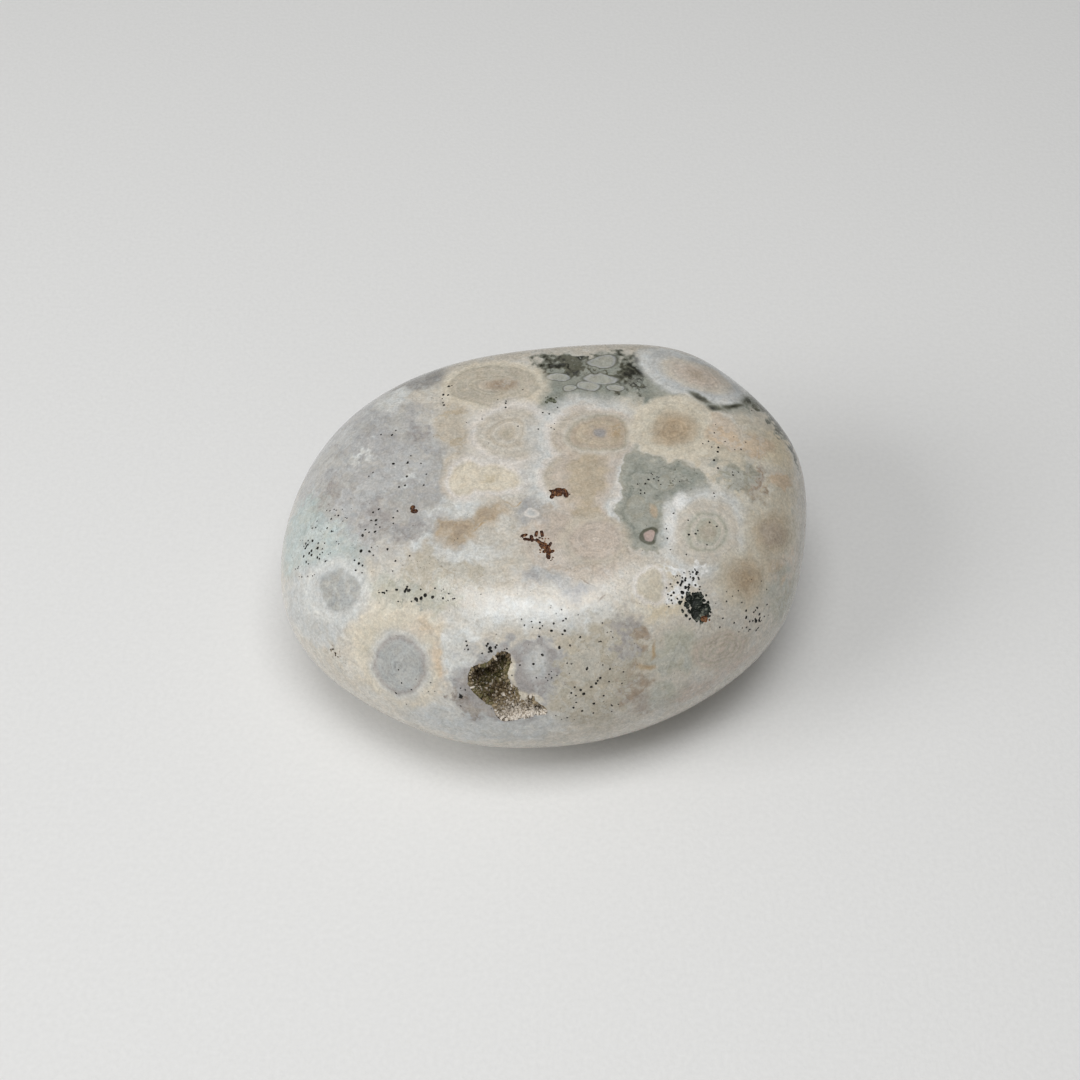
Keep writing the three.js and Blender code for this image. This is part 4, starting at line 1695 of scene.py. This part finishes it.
@dataclass(frozen=True)
class Pitting:
    """All the small pits: those named in PITS, the clusters, and more over the far side.

    size_share shrinks every bowl, crown and fullness shape its section, and rough_edge is how
    ragged its outline of corners is. Bowls in one mesh lie at least gap apart.
    """

    pebble: Pebble
    size_spread: tuple[float, float] = (0.7, 1.15)
    long_spread: tuple[float, float] = (0.75, 1.35)
    far_count: int = 130
    far_tries: int = 8
    far_side: Triple = (0.1, 0.72, -0.69)
    far_edge: float = 0.05
    far_waves: Triple = (5, 6, 7)
    far_shift: float = 1
    far_clumps: float = 0.1
    far_size: tuple[float, float] = (0.12, 0.34)
    far_skew: float = 3
    far_depth: float = 1.1
    cells: int = 3
    corners: int = 8
    size_share: float = 0.88
    crown: float = 0.6
    fullness: float = 2.4
    rough_edge: float = 0.22
    gap: float = 0.05
    seed: int = 5

    def crowded(self, patch: Cluster, rng: np.random.Generator) -> Pits:
        """One cluster: its bowls spread evenly over its patch, the largest in the middle.

        Args:
            patch: the cluster.
            rng: the source of every chance.

        Returns:
            The bowls.
        """
        point, axes = self.pebble.frame_at(unit(patch.bearing, patch.rise))
        angle = rng.uniform(0, 2 * np.pi, patch.count)
        share = np.sqrt(rng.uniform(0, 1, patch.count))
        a, b = patch.right * share * np.cos(angle), patch.up * share * np.sin(angle)
        c, s = math.cos(math.radians(patch.turn)), math.sin(math.radians(patch.turn))
        right, up = a * c - b * s, a * s + b * c
        spots = point + right[:, None] * axes[0] + up[:, None] * axes[1]
        size = patch.smallest + (1 - share) * (patch.largest - patch.smallest)
        size *= rng.uniform(*self.size_spread, patch.count)
        long = rng.uniform(*self.long_spread, patch.count)
        slant = rng.uniform(0, 180, patch.count)
        bowls = zip(*bearings_of(spots), size * long, size / long, slant)
        return Pits(patch.lining, patch.depth, tuple(Bowl(*bowl) for bowl in bowls))

    def far(self, rng: np.random.Generator) -> Pits:
        """The far side's round bowls, most of them small.

        Directions are drawn evenly, far_tries of them for each bowl that is wanted. Those are
        kept that lie on the far side and where the product of two sine waves, plus a third, is
        more than far_clumps.

        Args:
            rng: the source of every chance.

        Returns:
            The bowls.
        """
        d = rng.normal(size=(self.far_tries * self.far_count, 3))
        d /= np.linalg.norm(d, axis=1)[:, None]
        first, second, third = (wave * part for wave, part in zip(self.far_waves, d.T))
        height = np.sin(first) * np.sin(second + self.far_shift) + np.sin(third)
        faces_far = d @ np.array(self.far_side) > self.far_edge
        d = d[faces_far & (height > self.far_clumps)][: self.far_count]
        skewed = rng.uniform(size=len(d)) ** self.far_skew
        size = self.far_size[0] + skewed * np.ptp(self.far_size)
        bearing = np.degrees(np.arctan2(d[:, 1], d[:, 0]))
        bowls = zip(bearing, np.degrees(np.arcsin(d[:, 2])), size, size)
        return Pits(Lining.BLACK, self.far_depth, tuple(Bowl(*bowl) for bowl in bowls))

    def lobe(self, bowl: Bowl, depth: float, rng: np.random.Generator) -> PlacedLobe:
        """One bowl with a slightly ragged outline, in its own turned frame on the surface.

        Args:
            bowl: the bowl.
            depth: its depth as a share of its mean half-width.
            rng: the source of every chance.

        Returns:
            The placed form.
        """
        right, up = bowl.right * self.size_share, bowl.up * self.size_share
        point, axes = self.pebble.frame_at(unit(bowl.bearing, bowl.rise))
        c, s = math.cos(math.radians(bowl.turn)), math.sin(math.radians(bowl.turn))
        axes = np.array([[c, s, 0.0], [-s, c, 0.0], [0.0, 0.0, 1.0]]) @ axes
        angle = np.arange(self.corners) * 2 * np.pi / self.corners
        plan = right * up / np.hypot(up * np.cos(angle), right * np.sin(angle))
        plan = plan * (1 + self.rough_edge * rng.uniform(-1, 1, self.corners))
        mean = math.sqrt(right * up)
        form = RoundedForm(tuple(plan), self.crown * mean, depth * mean, self.fullness)
        return PlacedLobe(form, point, axes)

    def batches(self) -> list[list[tuple[PlacedLobe, float, Lining]]]:
        """Every bowl with its width and its lining, in as few batches as keep bowls apart.

        Returns:
            The batches. No two bowls in one batch touch.
        """
        rng = np.random.default_rng(self.seed)
        groups = [*PITS, *(self.crowded(patch, rng) for patch in CLUSTERS), self.far(rng)]
        rng = np.random.default_rng(self.seed)
        batches = []
        for group, bowl in ((group, bowl) for group in groups for bowl in group.bowls):
            lobe = self.lobe(bowl, group.depth, rng)
            width = max(lobe.form.plan)
            for batch in batches:
                spots = np.array([other.point for other, _, _ in batch])
                widths = np.array([other for _, other, _ in batch])
                apart = np.linalg.norm(spots - lobe.point, axis=1) - widths
                if apart.min() > width + self.gap:
                    batch.append((lobe, width, group.lining))
                    break
            else:
                batches.append([(lobe, width, group.lining)])
        return batches

    def cutters(
        self, middle: np.ndarray, linings: dict[Lining, bpy.types.Material]
    ) -> list[bpy.types.Object]:
        """The closed solids to cut.

        Args:
            middle: the pebble's middle in the frame, in millimetres.
            linings: the material of each lining.

        Returns:
            One mesh for each batch.
        """
        d, quads = cube_sphere(self.cells)
        made = []
        for number, batch in enumerate(self.batches()):
            places = np.concatenate([middle + lobe.surface(d) for lobe, _, _ in batch])
            faces = np.concatenate([quads + n * len(d) for n in range(len(batch))])
            cutter = mesh_object(f"pits_{number}", places * MM, faces)
            worn = [lining for _, _, lining in batch]
            kinds = list(dict.fromkeys(worn))
            for kind in kinds:
                cutter.data.materials.append(linings[kind])
            slots = np.repeat([kinds.index(lining) for lining in worn], len(quads))
            cutter.data.polygons.foreach_set("material_index", slots.astype(np.int32))
            made.append(cutter)
        return made


@dataclass
class Stone:
    """The pebble itself: its fine polished surface with the hollow and the pits cut into it.

    rim_crease is the turn, in degrees, from which an edge stays sharp.
    """

    pebble: Pebble
    middle: np.ndarray
    cells: int = 100
    lobe_cells: int = 24
    rim_crease: float = 40.0

    def build(self) -> bpy.types.Object:
        """The finished stone as one closed mesh, with the cavity walls in their own material.

        Returns:
            The piece.
        """
        d, quads = cube_sphere(self.cells)
        places = self.middle + d * self.pebble.reach(d)[:, None]
        piece = mesh_object("polished_stone", places * MM, quads)
        piece.data.materials.append(JasperFinish(self.pebble, self.middle).build())
        linings = {lining: LiningFinish(lining).build() for lining in Lining}
        d, quads = cube_sphere(self.lobe_cells)
        cutters = []
        for number, lobe in enumerate(HOLLOW.placed(self.pebble)):
            places = self.middle + lobe.surface(d)
            cutter = mesh_object(f"hollow_{number}", places * MM, quads)
            cutter.data.materials.append(linings[Lining.BROWN])
            cutters.append(cutter)
        carved(piece, cutters + Pitting(self.pebble).cutters(self.middle, linings))
        shade(piece, smooth=True, crease=self.rim_crease)
        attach(piece, BODY)
        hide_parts("stone")
        return piece


@dataclass
class CrystalCrust:
    """The druse in the hollow: small six-sided quartz points that crowd its walls.

    points_per_lobe and lobe_tone_and_shade follow the hollow's lobes; the main lobe's dark tone is partly
    painted shade in the deep hollow. lower_pale_and_lit_gain pales the points down each lobe's lower wall,
    partly their own cream and partly painted light where that wall faces up. radius and length
    run from the smallest point to the largest, and size_skew makes small ones commoner. lean is
    how far a point may turn from the wall's own direction, and tip_share the tip's height in
    radii. cover is how far under the pebble's surface the feet stay.
    """

    pebble: Pebble
    middle: np.ndarray
    points_per_lobe: tuple[int, ...] = (2600, 1700, 900)
    # The main lobe's low tone is partly painted shade; the gain below pales the lower walls, partly as
    # painted light.
    lobe_tone_and_shade: tuple[float, ...] = (0.03, 0.3, 0.34)
    lower_pale_and_lit_gain: float = 2
    base_tone: float = 0.15
    tone_range: float = 0.85
    tone_skew: float = 3
    radius: tuple[float, float] = (0.05, 0.2)
    length: tuple[float, float] = (0.08, 0.5)
    size_skew: float = 1.6
    foot_depth: float = 0.08
    lean: float = 0.55
    tip_share: float = 1.1
    cover: float = 0.06
    sides: int = 6
    seed: int = 11

    def feet(self, lobes: list[PlacedLobe]) -> tuple[np.ndarray, np.ndarray, np.ndarray]:
        """Where the points may stand.

        On each lobe the feet follow a spiral of equal areas over the lower half of its wall.
        Feet that would stand in another lobe's open room, or above the surface, are left out.

        Args:
            lobes: the hollow's lobes.

        Returns:
            The places, the directions out of the wall there, and how pale the points are.
        """
        places, inwards, tones = [], [], []
        for lobe, count, tone in zip(lobes, self.points_per_lobe, self.lobe_tone_and_shade):
            n = np.arange(count)
            drop = (n + 0.5) / count
            turn = n * np.pi * SPIRAL_STEP
            flat = np.sqrt(1 - drop**2)
            d = np.stack([flat * np.cos(turn), flat * np.sin(turn), -drop], axis=1)
            spots = lobe.surface(d)
            free = self.pebble.holds(spots, self.cover)
            for other in lobes:
                if other is not lobe:
                    free &= ~other.holds(spots, self.foot_depth)
            places.append(spots[free])
            inwards.append(-(d @ lobe.axes)[free])
            # Paler down each lobe's lower wall: partly the points' own cream, partly painted light.
            tones.append((tone + tone * self.lower_pale_and_lit_gain * np.maximum(0, -d[:, 1]))[free])
        return np.concatenate(places), np.concatenate(inwards), np.concatenate(tones)

    def rings(
        self, axis: np.ndarray, radius: np.ndarray, rng: np.random.Generator
    ) -> np.ndarray:
        """The corners round each point's axis, each point turned by chance.

        A corner is the radius times cosine and sine along two directions across the axis.

        Args:
            axis: the direction of each point.
            radius: the radius of each point.
            rng: the source of every chance.

        Returns:
            The corners' offsets from the axis, by point and side.
        """
        across = np.cross(axis, rng.normal(size=axis.shape))
        across /= np.linalg.norm(across, axis=1)[:, None]
        other = np.cross(axis, across)
        turn = (np.arange(self.sides) * 2 * np.pi / self.sides)[None, :, None]
        ring = np.cos(turn) * across[:, None] + np.sin(turn) * other[:, None]
        return ring * radius[:, None, None]

    def faces(self) -> np.ndarray:
        """One point's triangles: two to a side, one to each side of the tip and of the foot.

        Returns:
            The indices into the ring round the foot, the shoulder's ring, the foot and the tip.
        """
        low = np.arange(self.sides)
        after = (low + 1) % self.sides
        high, high_after = low + self.sides, after + self.sides
        foot = np.full(self.sides, 2 * self.sides)
        rows = [(low, after, high_after), (low, high_after, high)]
        rows += [(high, high_after, foot + 1), (after, low, foot)]
        return np.concatenate([np.stack(row, axis=1) for row in rows])

    def grown(self) -> tuple[np.ndarray, np.ndarray]:
        """Every point that stays under the rim, as a closed prism with a pointed tip.

        Returns:
            The corners by point, and each point's tone.
        """
        rng = np.random.default_rng(self.seed)
        feet, inwards, tone = self.feet(HOLLOW.placed(self.pebble))
        count = len(feet)
        axis = inwards + self.lean * rng.uniform(-1, 1, (count, 3))
        axis /= np.linalg.norm(axis, axis=1)[:, None]
        size = rng.uniform(0, 1, count) ** self.size_skew
        radius = self.radius[0] + size * (self.radius[1] - self.radius[0])
        length = self.length[0] + size * (self.length[1] - self.length[0])
        tips = feet + axis * (length + radius * self.tip_share)[:, None]
        kept = self.pebble.holds(tips, self.cover / 2)
        chance = rng.uniform(0, 1, count) ** self.tone_skew
        tone = tone + self.base_tone + self.tone_range * chance
        ring = self.rings(axis[kept], radius[kept], rng)
        low = (feet - axis * self.foot_depth)[kept, None]
        shoulder = (feet + axis * length[:, None])[kept, None]
        corners = [ring + low, ring + shoulder, low, tips[kept, None]]
        return np.concatenate(corners, axis=1), tone[kept]

    def build(self) -> bpy.types.Object:
        """All the points as one mesh.

        Returns:
            The piece.
        """
        places, tone = self.grown()
        count, corners = places.shape[:2]
        faces = (self.faces()[None] + corners * np.arange(count)[:, None, None]).reshape(-1, 3)
        places = self.middle + places.reshape(-1, 3)
        piece = mesh_object("quartz_crust", places * MM, faces)
        shade(piece, smooth=False)
        tones = piece.data.attributes.new("tone", "FLOAT", "POINT")
        tones.data.foreach_set("value", np.repeat(tone, corners).astype(np.float32))
        piece.data.materials.append(CrystalFinish().build())
        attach(piece, BODY)
        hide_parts("crystal_crust")
        return piece


# ---- Studio -------------------------------------------------------------------------------------


@dataclass(frozen=True)
class Lamp:
    """A soft rectangular light, turned towards aim, in metres and watts."""

    name: str
    place: Triple
    size: tuple[float, float]
    power: float
    glints: bool = True
    aim: Triple = (0, 0, 0.01)

    def build(self) -> None:
        """Sets the light up. Without glints it isn't seen in a polish."""
        lamp = bpy.data.lights.new(self.name, "AREA")
        lamp.shape = "RECTANGLE"
        lamp.size, lamp.size_y = self.size
        lamp.energy = self.power
        made = bpy.data.objects.new(self.name, lamp)
        made.location = self.place
        towards = Vector(self.aim) - Vector(self.place)
        made.rotation_euler = towards.to_track_quat("-Z", "Y").to_euler()
        made.visible_glossy = self.glints
        bpy.context.scene.collection.objects.link(made)


@dataclass
class Studio:
    """The pale floor, the soft lights and the camera round the stone.

    The surround is dimmest where a direction's cosine to the bright side is dim_turn or less.
    """

    floor_half: float = 1.6
    floor_grey: Triple = (0.80, 0.80, 0.79)
    camera_rise: float = 53.0
    camera_distance: float = 0.235
    lens: float = 60.0
    sensor: float = 36.0
    near_clip: float = 0.01
    aim: Triple = (-0.00079, 0.00144, 0.015)
    sky_range: tuple[float, float] = (0.09, 0.36)
    bright_side: Triple = (-0.6, -0.55, 0.6)
    dim_turn: float = -0.3
    lamps: tuple[Lamp, ...] = (
        Lamp("softbox", (0.005, -0.075, 0.50), (0.30, 0.23), 1.2),
        Lamp("left_fill", (-0.58, -0.20, 0.42), (0.36, 0.36), 2.3, glints=False),
    )

    def floor(self) -> None:
        """Lays a pale level floor under the stone, which fills the view."""
        h = self.floor_half
        corners = np.array([[-h, -h, 0], [h, -h, 0], [h, h, 0], [-h, h, 0]])
        made = mesh_object("floor", corners, np.array([[0, 1, 2, 3]]))
        made.data.materials.append(FloorFinish(self.floor_grey).build())

    def world(self) -> None:
        """Sets a pale surround, brightest towards one side, as inside a lit tent.

        The brightness is a smooth step of how far each direction turns towards the bright side.
        """
        world = bpy.data.worlds.new("surround")
        world.use_nodes = True
        nodes, links = world.node_tree.nodes, world.node_tree.links
        place = nodes.new("ShaderNodeTexCoord")
        towards = nodes.new("ShaderNodeVectorMath")
        towards.operation = "DOT_PRODUCT"
        towards.inputs[1].default_value = Vector(self.bright_side).normalized()
        spread = nodes.new("ShaderNodeMapRange")
        spread.interpolation_type = "SMOOTHSTEP"
        spread.inputs["From Min"].default_value = self.dim_turn
        spread.inputs["To Min"].default_value = self.sky_range[0]
        spread.inputs["To Max"].default_value = self.sky_range[1]
        links.new(place.outputs["Generated"], towards.inputs[0])
        links.new(towards.outputs["Value"], spread.inputs["Value"])
        links.new(spread.outputs["Result"], nodes["Background"].inputs["Strength"])
        nodes["Background"].inputs["Color"].default_value = (1, 1, 1, 1)
        bpy.context.scene.world = world

    def camera(self) -> None:
        """Sets up the camera in front of the stone, looking down on it."""
        data = bpy.data.cameras.new("camera")
        data.lens = self.lens
        data.sensor_width = self.sensor
        data.clip_start = self.near_clip
        made = bpy.data.objects.new("camera", data)
        rise = math.radians(self.camera_rise)
        back = Vector((0, -math.cos(rise), math.sin(rise)))
        made.location = Vector(self.aim) + back * self.camera_distance
        made.rotation_euler = (-back).to_track_quat("-Z", "Y").to_euler()
        bpy.context.scene.collection.objects.link(made)
        bpy.context.scene.camera = made

    def build(self) -> None:
        """Sets up everything round the stone."""
        bpy.context.scene.view_settings.view_transform = "Standard"
        self.floor()
        self.world()
        for lamp in self.lamps:
            lamp.build()
        self.camera()


def middle_of(pebble: Pebble) -> np.ndarray:
    """Where the pebble's middle lies, so that its box meets the frame's box of the stone.

    Args:
        pebble: the pebble.

    Returns:
        The place in the frame, in millimetres.
    """
    stone_low, stone_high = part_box("stone")
    d, _ = cube_sphere(MEASURE_CELLS)
    surface = d * pebble.reach(d)[:, None]
    low, high = surface.min(axis=0), surface.max(axis=0)
    centre = (np.array(stone_low) + np.array(stone_high)) / 2 / MM
    middle = centre - (low + high) / 2
    middle[2] = stone_low[2] / MM + pebble.middle_height
    return middle


def main() -> None:
    """Builds the stone, its crust and the studio."""
    logging.basicConfig(level=logging.INFO, format="%(message)s")
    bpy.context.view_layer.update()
    pebble = Pebble()
    middle = middle_of(pebble)
    LOG.info("middle of the pebble at %s mm", np.round(middle, 3))
    stone = Stone(pebble, middle).build()
    LOG.info("%s: %d faces", stone.name, len(stone.data.polygons))
    crust = CrystalCrust(pebble, middle).build()
    LOG.info("%s: %d faces", crust.name, len(crust.data.polygons))
    Studio().build()


if __name__ == "__main__":
    main()
